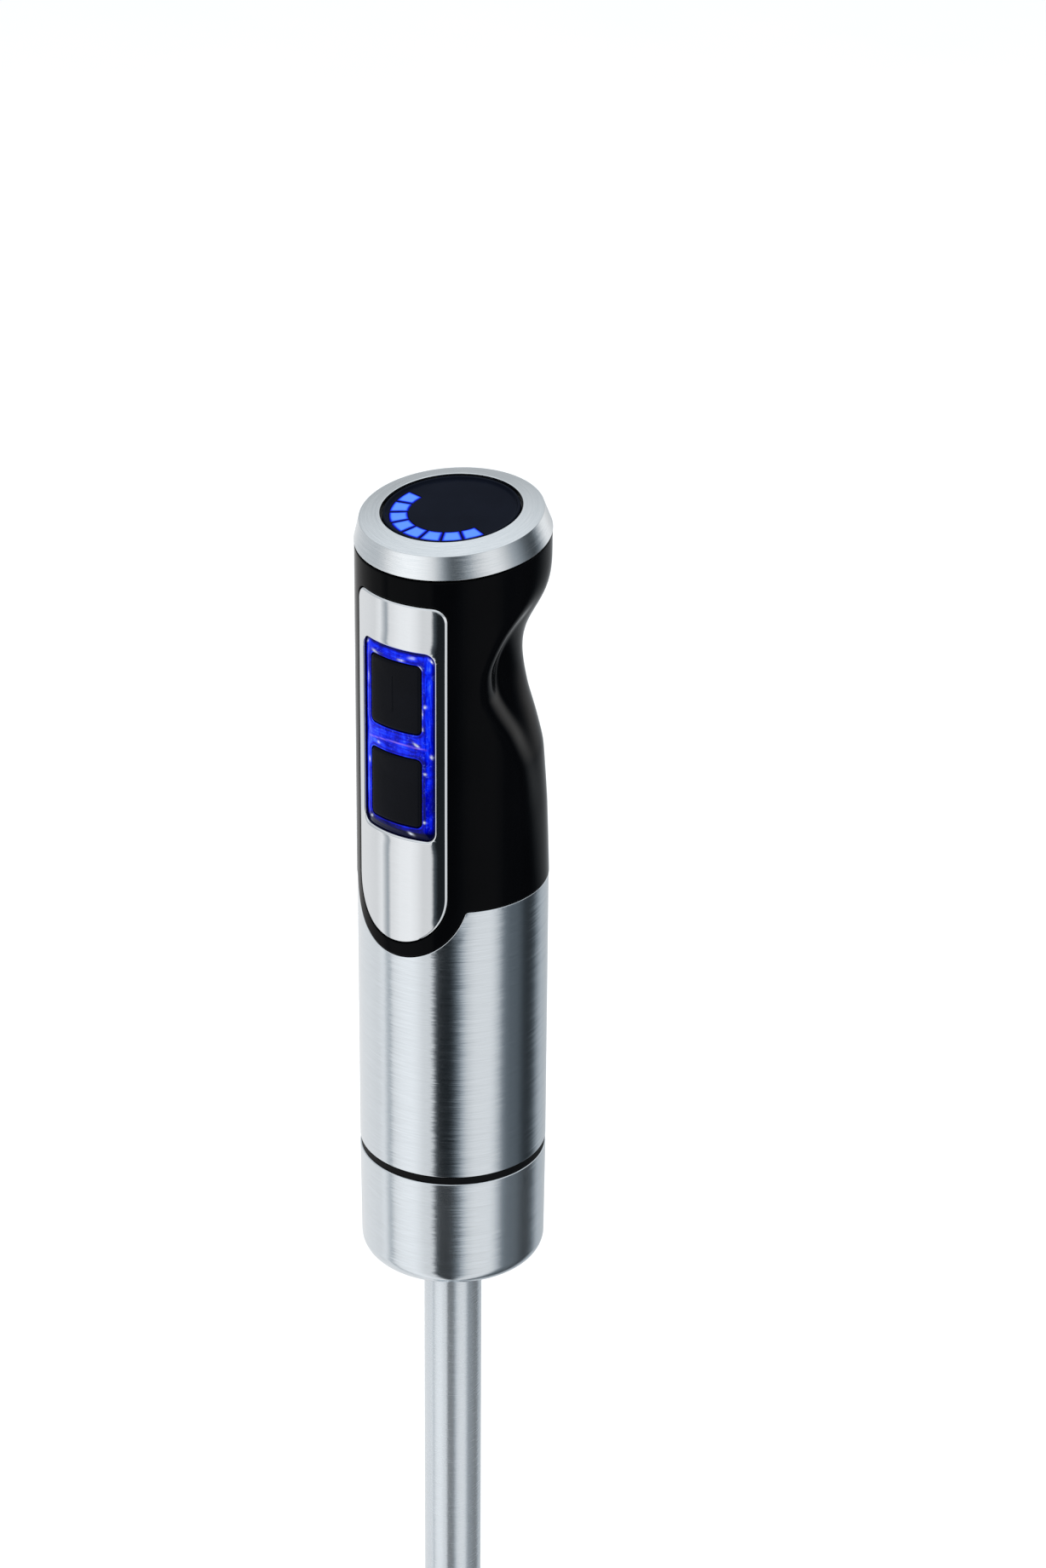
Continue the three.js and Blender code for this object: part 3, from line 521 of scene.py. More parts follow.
def brushed(name, color=(0.70, 0.745, 0.785), rough=(0.10, 0.22), across=4400.0, along=95.0, bump=0.25,
            aniso=0.72, streak=0.075, coarse=0.15, wear=True, comb=0.085, metal=1.0, axis="Z"):
    """turned or drawn steel with brushing that runs round the part"""
    m = Mat(name)
    fine = m.noise(round_coords(m, across, along), 1.0, 3.0, 0.65)
    wide = m.noise(round_coords(m, across * 0.2, along * 0.45, 0.6, -0.8), 1.0, 2.0, 0.5)
    hair = m.noise(round_coords(m, across * 1.7, along * 2.4, -0.7, 0.7), 1.0, 2.0, 0.6)
    smudge = m.noise(m.scaled(38, 38, 26), 1.0, 3.0, 0.6, 0.4)
    mixf = m.math("ADD", m.math("MULTIPLY", fine, 1.0 - coarse), m.math("MULTIPLY", wide, coarse))
    tone = m.math("ADD", m.math("MULTIPLY", mixf, 0.6), m.math("MULTIPLY", hair, 0.4))
    lo = tuple(c * (1 - streak) for c in color)
    hi = tuple(min(1.0, c * (1 + streak)) for c in color)
    col = m.mix(m.span(tone, 0.36, 0.64, 0.0, 1.0), lo, hi)
    r = m.span(mixf, 0.3, 0.7, rough[0], rough[1])
    r = m.math("ADD", r, m.span(smudge, 0.35, 0.7, -0.01, 0.02))
    if wear:
        e = m.edges(0.0005)
        col = m.mix(m.math("MULTIPLY", e, 0.5), col, tuple(min(1.0, c * 1.16) for c in color))
        r = m.math("SUBTRACT", r, m.math("MULTIPLY", e, 0.05))
    tan = m.tangent(axis)
    lean = m.math("MULTIPLY", m.math("SUBTRACT", mixf, 0.5), comb * 2.0)
    m.set(color=col, metal=metal, rough=r, aniso=aniso, aniso_rot=0.25, tangent=tan,
          normal=m.combed(m.bump(mixf, bump, 0.00004), tan, lean))
    return m.m


def plastic(name, color, rough, spec=0.5, grain=0.0, grain_scale=2600.0, vary=0.12, coat=0.0, coat_rough=0.05,
            wear=0.0, wavy=0.0):
    """moulded plastic: slight mottling of colour and gloss, a texture, paler worn edges"""
    m = Mat(name)
    cloud = m.noise(m.scaled(55, 55, 55), 1.0, 4.0, 0.6)
    speck = m.noise(m.scaled(grain_scale, grain_scale, grain_scale), 1.0, 2.0, 0.5)
    lo = tuple(c * (1 - vary) for c in color)
    hi = tuple(c * (1 + vary) for c in color)
    col = m.mix(m.span(cloud, 0.35, 0.65, 0, 1), lo, hi)
    r = m.span(cloud, 0.3, 0.7, rough * 0.86, rough * 1.16)
    if wear:
        e = m.edges(0.0005)
        col = m.mix(m.math("MULTIPLY", e, wear), col, tuple(min(1.0, c * 2.2 + 0.02) for c in color))
        r = m.math("ADD", r, m.math("MULTIPLY", e, 0.08))
    nrm = m.bump(speck, max(grain, 0.02), 0.00004)
    if wavy:
        nrm = m.bump(m.noise(m.scaled(160, 160, 110), 1.0, 2.0, 0.5), wavy, 0.0002, nrm)
    m.set(color=col, rough=r, spec=spec, coat=coat, coat_rough=coat_rough, normal=nrm)
    return m.m


def gloss_black():
    m = Mat("black_gloss_plastic")
    cloud = m.noise(m.scaled(48, 48, 30), 1.0, 4.0, 0.6, 0.3)
    hair = m.noise(m.scaled(900, 900, 70), 1.0, 3.0, 0.7)
    dust = m.ramp(m.noise(m.scaled(2400, 2400, 2400), 1.0, 1.0, 0.5), [(0.0, 0.0), (0.70, 0.0), (0.76, 1.0)])
    col = m.mix(m.span(cloud, 0.35, 0.65, 0, 1), (0.0014, 0.0016, 0.0021), (0.0020, 0.0022, 0.0028))
    col = m.mix(m.math("MULTIPLY", dust, 0.05), col, (0.03, 0.03, 0.034))
    r = m.math("ADD", m.span(cloud, 0.3, 0.7, 0.085, 0.15), m.span(hair, 0.45, 0.75, 0.0, 0.05))
    peel = m.noise(m.scaled(420, 420, 420), 1.0, 2.0, 0.5)
    m.set(color=col, rough=r, spec=0.035, normal=m.bump(peel, 0.06, 0.00005))
    return m.m


def satin_dial():
    m = Mat("satin_aluminium")
    # coordinates square to the leaning dial
    n = m.nt.nodes.new("ShaderNodeMapping")
    n.inputs["Rotation"].default_value = (-TILT, 0, 0)
    n.inputs["Location"].default_value = (0, -math.sin(TILT) * DIAL_Z * MM, -math.cos(TILT) * DIAL_Z * MM)
    m.link(m.co, n.inputs["Vector"])
    m.co = n.outputs[0]
    fine = m.noise(round_coords(m, 4600, 170), 1.0, 3.0, 0.65)
    wide = m.noise(round_coords(m, 900, 70, 0.6, -0.8), 1.0, 2.0, 0.5)
    blast = m.noise(m.scaled(3600, 3600, 3600), 1.0, 2.0, 0.6)
    mixf = m.math("ADD", m.math("MULTIPLY", fine, 0.55),
                  m.math("ADD", m.math("MULTIPLY", blast, 0.3), m.math("MULTIPLY", wide, 0.15)))
    col = m.mix(m.span(mixf, 0.38, 0.62, 0, 1), (0.65, 0.69, 0.72), (0.79, 0.82, 0.845))
    e = m.edges(0.0004)
    col = m.mix(m.math("MULTIPLY", e, 0.6), col, (0.88, 0.91, 0.93))
    r = m.math("SUBTRACT", m.span(mixf, 0.3, 0.7, 0.13, 0.25), m.math("MULTIPLY", e, 0.05))
    tan = m.tangent("Z")
    lean = m.math("MULTIPLY", m.math("SUBTRACT", mixf, 0.5), 0.16)
    m.set(color=col, metal=1.0, rough=r, aniso=0.5, aniso_rot=0.25, tangent=tan,
          normal=m.combed(m.bump(mixf, 0.3, 0.00004), tan, lean))
    return m.m


def lit_clear():
    """clear plastic with blue light inside; border and lip are the distances in mm from the frame's outline and
    from the buttons, bar tells upright bars from level ones, the glint attribute marks painted highlights, white
    glints on the frame's corners, and ridge marks the crest between the buttons, where a pinkish highlight line is
    painted"""
    m = Mat("lit_clear_plastic")
    border, lip, bar, glint, ridge = m.attr("border"), m.attr("lip"), m.attr("bar"), m.attr("glint"), m.attr("ridge")
    x, y, z = m.xyz(m.co)
    up = m.noise(m.scaled(1300, 1300, 120), 1.0, 4.0, 0.62, 0.5)
    lv = m.noise(m.scaled(150, 500, 1300), 1.0, 4.0, 0.62, 0.6)
    cloud = m.noise(m.scaled(210, 210, 130), 1.0, 3.0, 0.6, 1.0)
    streak = m.mix(bar, lv, up)
    outer = m.ramp(m.math("MULTIPLY", border, 0.25), [(0.0, 0.03), (0.10, 0.10), (0.20, 0.42), (0.30, 0.92), (0.55, 1.0)])
    inner = m.ramp(m.math("MULTIPLY", lip, 0.25), [(0.0, 0.35), (0.035, 1.0), (0.08, 1.05), (0.13, 0.55), (0.22, 0.50),
                                                   (0.34, 0.95), (0.6, 1.0)])
    core = m.math("MULTIPLY", m.math("MULTIPLY", outer, inner), m.span(streak, 0.33, 0.67, 0.40, 1.12))
    core = m.math("MULTIPLY", core, m.span(cloud, 0.33, 0.67, 0.40, 1.18))
    # the lower right bar is dimmer, and the light ends above the frame's foot
    dim = m.math("MULTIPLY", m.span(x, 0.0088, 0.0100, 0.0, 1.0), m.span(z, 0.3445, 0.3465, 0.36, 0.0))
    core = m.math("MULTIPLY", core, m.math("SUBTRACT", 1.0, m.math("MAXIMUM", dim, 0.0)))
    low = m.span(z, 0.3258, 0.3282, 0.0, 1.0)
    core = m.math("MULTIPLY", core, low)
    col = m.ramp(core, [(0.0, (0.0, 0.0, 0.010)), (0.12, (0.0, 0.0, 0.13)), (0.34, (0.0, 0.002, 0.50)),
                        (0.62, (0.003, 0.022, 0.93)), (0.88, (0.012, 0.060, 1.0)), (1.0, (0.05, 0.14, 1.0))])
    speck = m.ramp(m.noise(m.scaled(650, 650, 700), 1.0, 3.0, 0.6, 2.0), [(0.0, 0.0), (0.60, 0.0), (0.70, 1.0)])
    col = m.mix(m.math("MULTIPLY", m.math("MULTIPLY", speck, 0.30), m.math("MULTIPLY", low, outer)), col, (0.16, 0.26, 1.0))
    # painted highlights: white glints mixed into the glow where the glint attribute is high
    spark = m.noise(m.scaled(900, 900, 900), 1.0, 2.0, 0.6, 0.5)
    g = m.math("MULTIPLY", glint, m.span(spark, 0.32, 0.66, 0.6, 1.3), clamp=True)
    col = m.mix(g, col, (0.82, 0.88, 1.0))
    # painted highlight: a pinkish line of reflected light along the crest between the buttons
    col = m.mix(m.math("MULTIPLY", ridge, m.span(lv, 0.35, 0.65, 0.35, 0.95), clamp=True), col, (0.36, 0.20, 0.86))
    m.set(color=(0.0, 0.001, 0.02), rough=0.09, spec=0.08, coat=0.06, coat_rough=0.05, emit=col, emit_strength=1.0,
          normal=m.bump(m.noise(m.scaled(520, 520, 380), 1.0, 2.0, 0.5, 1.0), 0.3, 0.00012))
    return m.m


def level_light():
    m = Mat("level_light_diffuser")
    edge = m.attr("edge")
    cloud = m.noise(m.scaled(420, 420, 420), 1.0, 2.0, 0.5, 0.6)
    f = m.math("MULTIPLY", edge, m.span(cloud, 0.3, 0.7, 0.9, 1.1))
    col = m.ramp(f, [(0.0, (0.0, 0.0, 0.28)), (0.22, (0.0, 0.0, 0.62)), (0.40, (0.01, 0.06, 0.98)),
                     (0.62, (0.07, 0.24, 1.0)), (1.0, (0.115, 0.31, 1.0))])
    m.set(color=(0.002, 0.008, 0.06), rough=0.25, spec=0.05, emit=col, emit_strength=1.0,
          normal=m.bump(cloud, 0.1, 0.00005))
    return m.m


def board(name):
    m = Mat(name)
    tr = m.voronoi(m.scaled(520, 520, 520), 1.0, "DISTANCE_TO_EDGE")
    lines = m.ramp(tr, [(0.0, 1.0), (0.06, 1.0), (0.09, 0.0)])
    weave = m.noise(m.scaled(2500, 2500, 2500), 1.0, 2.0)
    col = m.mix(m.span(weave, 0.35, 0.65, 0, 1), (0.010, 0.075, 0.028), (0.014, 0.10, 0.038))
    col = m.mix(m.math("MULTIPLY", lines, 0.55), col, (0.03, 0.18, 0.07))
    m.set(color=col, rough=m.span(weave, 0.3, 0.7, 0.3, 0.45), spec=0.45, normal=m.bump(lines, 0.3, 0.00005))
    return m.m


def laminated():
    m = Mat("lamination_steel")
    x, y, z = m.xyz(m.co)
    saw = m.math("FRACT", m.math("MULTIPLY", z, 2000.0))
    sheet = m.ramp(saw, [(0.0, 0.2), (0.12, 1.0), (0.88, 1.0), (1.0, 0.2)])
    n = m.noise(m.scaled(900, 900, 900), 1.0, 3.0)
    col = m.mix(sheet, (0.05, 0.05, 0.055), (0.20, 0.205, 0.215))
    col = m.mix(m.span(n, 0.55, 0.8, 0.0, 0.4), col, (0.15, 0.09, 0.06))
    m.set(color=col, metal=0.85, rough=m.span(n, 0.3, 0.7, 0.38, 0.6), normal=m.bump(sheet, 0.5, 0.00006))
    return m.m


def wound(name, pitch=1500.0, upright=True):
    m = Mat(name)
    x, y, z = m.xyz(m.co)
    r = m.math("SQRT", m.math("ADD", m.math("MULTIPLY", x, x), m.math("MULTIPLY", y, y)))
    p = m.math("ADD", m.math("MULTIPLY", z, pitch), m.math("MULTIPLY", r, pitch * 0.8))
    wob = m.math("MULTIPLY", m.noise(m.scaled(300, 300, 300), 1.0, 2.0), 1.6)
    saw = m.math("PINGPONG", m.math("ADD", p, wob), 0.5)
    col = m.mix(m.span(saw, 0.0, 0.3, 0.0, 1.0), (0.09, 0.022, 0.006), (0.55, 0.20, 0.07))
    m.set(color=col, metal=0.9, rough=m.span(saw, 0.0, 0.5, 0.5, 0.28), normal=m.bump(saw, 0.6, 0.00012))
    return m.m


def segments(name, count=24):
    m = Mat(name)
    x, y, z = m.xyz(m.co)
    a = m.math("MULTIPLY", m.math("ARCTAN2", y, x), count / (2 * math.pi))
    gap = m.ramp(m.math("PINGPONG", a, 0.5), [(0.0, 1.0), (0.05, 1.0), (0.08, 0.0)])
    rub = m.noise(round_coords(m, 3000, 100), 1.0, 3.0)
    col = m.mix(m.span(rub, 0.3, 0.7, 0, 1), (0.50, 0.19, 0.09), (0.66, 0.29, 0.15))
    col = m.mix(gap, col, (0.02, 0.02, 0.02))
    m.set(color=col, metal=m.math("SUBTRACT", 1.0, gap), rough=m.span(rub, 0.3, 0.7, 0.2, 0.4),
          normal=m.bump(gap, -0.6, 0.0001))
    return m.m


def carbon():
    m = Mat("carbon_brush")
    n = m.noise(m.scaled(2200, 2200, 2200), 1.0, 4.0, 0.7)
    col = m.mix(m.span(n, 0.3, 0.7, 0, 1), (0.010, 0.010, 0.011), (0.05, 0.05, 0.053))
    m.set(color=col, metal=0.2, rough=m.span(n, 0.3, 0.7, 0.5, 0.8), normal=m.bump(n, 0.5, 0.00006))
    return m.m


def floor_material():
    m = Mat("pale_floor")
    n = m.noise(m.scaled(7, 7, 7), 1.0, 3.0)
    g = m.noise(m.scaled(900, 900, 900), 1.0, 2.0)
    m.set(color=m.mix(m.span(n, 0.3, 0.7, 0, 1), (0.925, 0.925, 0.93), (0.94, 0.94, 0.942)),
          rough=m.span(g, 0.3, 0.7, 0.75, 0.9), spec=0.1)
    return m.m


M = {
    "black_gloss": gloss_black(),
    "brushed_steel": brushed("brushed_steel"),
    "bell_steel": brushed("brushed_bell_steel", metal=0.97, rough=(0.14, 0.28)),
    "cup_steel": brushed("brushed_cup_steel", metal=0.955),
    "tube_steel": brushed("brushed_tube_steel", rough=(0.16, 0.30), across=4200, along=170, bump=0.2, aniso=0.6,
                          metal=0.72, comb=0.06, streak=0.05),
    "trim_metal": brushed("trim_metal", color=(0.735, 0.76, 0.785), rough=(0.04, 0.09), across=5200, along=260,
                          bump=0.08, aniso=0.5, streak=0.025, coarse=0.2, comb=0.016),
    "satin_aluminium": satin_dial(),
    "lit_clear": lit_clear(),
    "level_light": level_light(),
    "display_black": plastic("display_black", (0.0046, 0.0062, 0.0118), 0.16, spec=0.010, vary=0.12, wavy=0.02),
    "button_black": plastic("button_black", (0.0040, 0.0046, 0.0072), 0.40, spec=0.05, grain=0.28, grain_scale=5200, vary=0.15),
    "black_rubber": plastic("black_rubber", (0.0030, 0.0034, 0.0042), 0.5, spec=0.08, grain=0.2, grain_scale=3000),
    "black_nylon": plastic("black_nylon", (0.014, 0.0145, 0.016), 0.48, spec=0.4, grain=0.3, grain_scale=2400, wear=0.25),
    "white_plastic": plastic("white_plastic", (0.62, 0.62, 0.59), 0.42, spec=0.5, grain=0.15, vary=0.05),
    "switch_black": plastic("switch_black", (0.012, 0.012, 0.014), 0.35, spec=0.45, grain=0.1, wear=0.2),
    "circuit_board": board("circuit_board"),
    "lamination_steel": laminated(),
    "copper_wire": wound("copper_wire"),
    "copper_bar": segments("copper_bar"),
    "brass_part": brushed("brass_part", color=(0.70, 0.50, 0.22), rough=(0.2, 0.4)),
    "bright_steel": brushed("bright_steel", color=(0.66, 0.67, 0.69), rough=(0.08, 0.2), bump=0.15),
    "screw_steel": brushed("screw_steel", color=(0.42, 0.43, 0.45), rough=(0.25, 0.45)),
    "carbon": carbon(),
}
FLOOR = floor_material()


# ------------------------------------------------------------------ black handle
def z_top(u, w=-0.6, r=R0):
    """height of the plane under the leaning dial, over the point at arc length u"""
    y = -r * np.cos(np.asarray(u, float) / R0)
    return DIAL_Z + (w + math.sin(TILT) * y) / math.cos(TILT)


def build_handle():
    s = Shape()
    lo, hi = R0 * math.radians(-150), R0 * math.radians(210)
    us = np.linspace(lo, hi, 181)
    f, fp = 0.35, 0.3                     # roundings of the outer edges and of the plate's seat
    gap = -0.28                           # the handle keeps clear of the steel sleeve

    # outer skin
    low = notch_chain(gap - f, lo, hi, 120)
    top = np.c_[us, z_top(us) - f]
    zs = np.linspace(low[0, 1], top[0, 1], 84)[1:-1]
    zs2 = np.linspace(low[-1, 1], top[-1, 1], 84)[1:-1]
    outer = np.vstack([low, np.c_[np.full(82, hi), zs2], top[::-1], np.c_[np.full(82, lo), zs[::-1]]])
    seat = plate_outline(0.3 + fp)
    a = np.radians(np.arange(48) * 7.5)

    def cord_hole(r_hole, r):
        x = r_hole * np.sin(a)
        return np.c_[R0 * (math.pi - np.arcsin(np.clip(x / r, -1, 1))), 403.0 + r_hole * np.cos(a)]

    hole = cord_hole(4.55 + 0.4, R0)
    p, tris, spans = fill(outer, [seat, hole], 1.35)
    ids = s.pts(round_pos(p, handle_radius(p[:, 0], p[:, 1])))
    s.tris(ids, tris)
    low_i = ids[:len(low)]
    top_i = ids[len(low) + 82:len(low) + 82 + len(top)][::-1]
    seat_i, hole_i = ids[spans[1]], ids[spans[2]]

    # lower edge rolls in to the barrel that the steel sleeve covers
    prev = low_i
    for out_, down in quarter(f, 4)[1:]:
        c = notch_chain(gap - out_, lo, hi, 120)
        cur = s.pts(round_pos(c, R0 - down))
        s.band(prev, cur, closed=False)
        prev = cur
    c = notch_chain(gap, lo, hi, 120)
    cc = s.pts(round_pos(c, 28.1))
    s.band(prev, cc, closed=False)
    bot = np.c_[us, np.full(len(us), 208.7)]
    za = np.linspace(208.7, c[0, 1], 24)[1:-1]
    barrel = np.vstack([bot, np.c_[np.full(22, hi), za], c[::-1], np.c_[np.full(22, lo), za[::-1]]])
    p, tris, spans = fill(barrel, [], 3.2)
    bi = s.pts(round_pos(p, 28.1))
    s.tris(bi, tris)
    bot_i = bi[:len(bot)]

    # seat for the trim plate, with its floor and the window through it
    prev = seat_i
    for out_, down in quarter(fp, 4)[1:]:
        c = plate_outline(0.3 + out_)
        cur = s.pts(front_pos(c, R0 - down))
        s.band(prev, cur)
        prev = cur
    c = plate_outline(0.3)
    win = window_outline(0.1)
    p, tris, spans = fill(c, [win], 2.0)
    fi = s.pts(front_pos(p, 28.0))
    s.tris(fi, tris)
    s.band(prev, fi[spans[0]])
    win_i = fi[spans[1]]

    # inner skin
    def inner_radius(u, z):
        return np.minimum(26.3, handle_radius(u, z) - 2.6)

    topn = np.c_[us, z_top(us, r=26.3) - 0.3]
    zi = np.linspace(209.0, topn[0, 1], 110)[1:-1]
    botn = np.c_[us, np.full(len(us), 209.0)]
    x = R0 * np.sin(win[:, 0] / R0)
    win_n = np.c_[R0 * np.arcsin(np.clip(x / 26.3, -1, 1)), win[:, 1]]
    hole_n = cord_hole(4.55, 26.3)
    inner = np.vstack([botn, np.c_[np.full(108, hi), zi], topn[::-1], np.c_[np.full(108, lo), zi[::-1]]])
    p, tris, spans = fill(inner, [win_n, hole_n], 2.4)
    ii = s.pts(round_pos(p, inner_radius(p[:, 0], p[:, 1])))
    s.tris(ii, tris)
    bot_n = ii[:len(botn)]
    top_n = ii[len(botn) + 108:len(botn) + 108 + len(topn)][::-1]
    s.band(win_i, ii[spans[1]])
    prev = hole_i
    for out_, down in quarter(0.4, 4)[1:]:
        c = cord_hole(4.55 + out_, R0)
        cur = s.pts(round_pos(c, handle_radius(c[:, 0], c[:, 1]) - down))
        s.band(prev, cur)
        prev = cur
    s.band(prev, ii[spans[2]])

    # top rim and bottom rim
    prev = top_i
    for out_, down in quarter(f, 4)[1:]:
        cur = s.pts(round_pos(np.c_[us, z_top(us) - out_], R0 - down))
        s.band(prev, cur, closed=False)
        prev = cur
    for r, dz in ((26.6, 0.0), (26.4, -0.08)):
        cur = s.pts(round_pos(np.c_[us, z_top(us, r=r) + dz], r))
        s.band(prev, cur, closed=False)
        prev = cur
    s.band(prev, top_n, closed=False)
    mid = s.pts(round_pos(np.c_[us, np.full(len(us), 208.7)], 26.5))
    s.band(bot_i, mid, closed=False)
    s.band(mid, bot_n, closed=False)
    return s.make("handle_skin", M["black_gloss"], "motor_unit", ["handle_shell"], weld=0.004)


def build_sleeve():
    s = Shape()
    lo, hi = -math.pi * R0, math.pi * R0
    us = np.linspace(lo, hi, 217)
    f = 0.22

    def radius(z):
        return 29.0 + 0.15 * (z - SEAM_TOP) / (SLEEVE_TOP - SEAM_TOP)

    def skin(top, bot, r_of, step):
        n = 60
        zs = np.linspace(bot[0, 1], top[0, 1], n + 2)[1:-1]
        outer = np.vstack([bot, np.c_[np.full(n, hi), zs], top[::-1], np.c_[np.full(n, lo), zs[::-1]]])
        p, tris, _ = fill(outer, [], step)
        ids = s.pts(round_pos(p, r_of(p[:, 1])))
        s.tris(ids, tris)
        return ids[len(bot) + n:len(bot) + n + len(top)][::-1], ids[:len(bot)]

    t_o, b_o = skin(notch_chain(f, lo, hi, 150), np.c_[us, np.full(len(us), SEAM_TOP + f)], radius, 1.7)
    t_i, b_i = skin(notch_chain(0.12, lo, hi, 150), np.c_[us, np.full(len(us), SEAM_TOP + 0.12)],
                    lambda z: radius(z) - 0.58, 3.0)
    prev = t_o
    for out_, down in quarter(f, 5)[1:]:
        c = notch_chain(out_, lo, hi, 150)
        cur = s.pts(round_pos(c, radius(c[:, 1]) - down))
        s.band(prev, cur, closed=False)
        prev = cur
    c = notch_chain(0.0, lo, hi, 150)
    cur = s.pts(round_pos(c, radius(c[:, 1]) - 0.46))
    s.band(prev, cur, closed=False)
    s.band(cur, t_i, closed=False)
    prev = b_o
    for out_, down in quarter(f, 5)[1:]:
        c = np.c_[us, np.full(len(us), SEAM_TOP + out_)]
        cur = s.pts(round_pos(c, radius(c[:, 1]) - down))
        s.band(prev, cur, closed=False)
        prev = cur
    c = np.c_[us, np.full(len(us), SEAM_TOP)]
    cur = s.pts(round_pos(c, radius(c[:, 1]) - 0.46))
    s.band(prev, cur, closed=False)
    s.band(cur, b_i, closed=False)
    return s.make("steel_barrel", M["brushed_steel"], "motor_unit", ["steel_sleeve"], weld=0.004)


def panel(s, outer_at, holes_at, r_top, r_back, edge, step=1.0, shape=None, hole_edge=None, wall_pos=front_pos):
    """curved plate: rounded outline, rounded openings, straight walls and a back.
    outer_at(d) and each of holes_at grow by d; edge is [(in from the outline, below the top)]"""
    hole_edge = hole_edge or edge
    o = outer_at(-edge[0][0])
    hs = [h(hole_edge[0][0]) for h in holes_at]
    p, tris, spans = fill(o, hs, step)
    r = np.full(len(p), float(r_top))
    if shape is not None:
        r = r + shape(p)
    ids = s.pts(wall_pos(p, r))
    s.tris(ids, tris)
    pb, tb, sb = fill(outer_at(0.0), [h(0.0) for h in holes_at], max(step, 2.2))
    back = s.pts(wall_pos(pb, r_back))
    s.tris(back, tb)
    n = [len(o)] + [len(h) for h in hs]
    for k, (fn, prof, sign) in enumerate([(outer_at, edge, -1)] + [(h, hole_edge, 1) for h in holes_at]):
        prev = ids[spans[k]]
        rk = r[spans[k]]
        for ins, down in prof[1:]:
            c = fn(sign * ins)
            cur = s.pts(wall_pos(c, rk - down))
            s.band(prev, cur)
            prev = cur
        s.band(prev, back[sb[k]])
    return p, ids, spans, back


def build_plate():
    s = Shape()
    edge = [(0.62, 0.0), (0.52, 0.012), (0.44, 0.045), (0.16, 0.30), (0.06, 0.42), (0.0, 0.6)]
    hole = [(0.75, 0.0), (0.6, 0.02), (0.46, 0.07), (0.2, 0.30), (0.07, 0.46), (0.0, 0.62)]
    win = window_outline(0.0)

    def lip(p):
        d = distance(p, [win])
        return 0.10 * np.exp(-(np.maximum(d - 0.7, 0) / 2.0) ** 2)

    panel(s, plate_outline, [window_outline], 29.42, 28.16, edge, 1.15, lip, hole)
    return s.make("trim_plate", M["trim_metal"], "motor_unit", ["front_trim_plate"])


# painted highlights: white glints of reflected light on the light frame's corners, as arc length, height, two half
# lengths and turn in degrees
PAINTED_GLINTS = [(-7.5, 381.35, 1.15, 0.36, -8), (2.8, 381.5, 0.95, 0.26, 2), (6.35, 382.85, 0.9, 0.3, 2),
          (9.2, 380.2, 0.7, 0.16, -48), (10.65, 367.8, 0.42, 0.42, 0), (9.75, 365.4, 0.16, 1.1, 0),
          (9.8, 360.4, 0.24, 0.5, 0), (12.15, 382.6, 0.8, 0.16, -48), (-6.0, 352.3, 0.5, 0.36, 0),
          (7.95, 354.95, 0.95, 0.30, -35), (12.3, 351.5, 0.3, 0.55, 20), (10.6, 345.9, 0.4, 0.3, 0),
          (10.3, 329.9, 0.5, 0.3, 0), (6.0, 325.3, 0.8, 0.42, -20), (-10.9, 372.0, 0.2, 1.3, 0),
          (-10.6, 345.0, 0.3, 0.8, 0), (-9.6, 326.6, 0.6, 0.3, 30), (-11.9, 382.9, 0.6, 0.2, 45)]


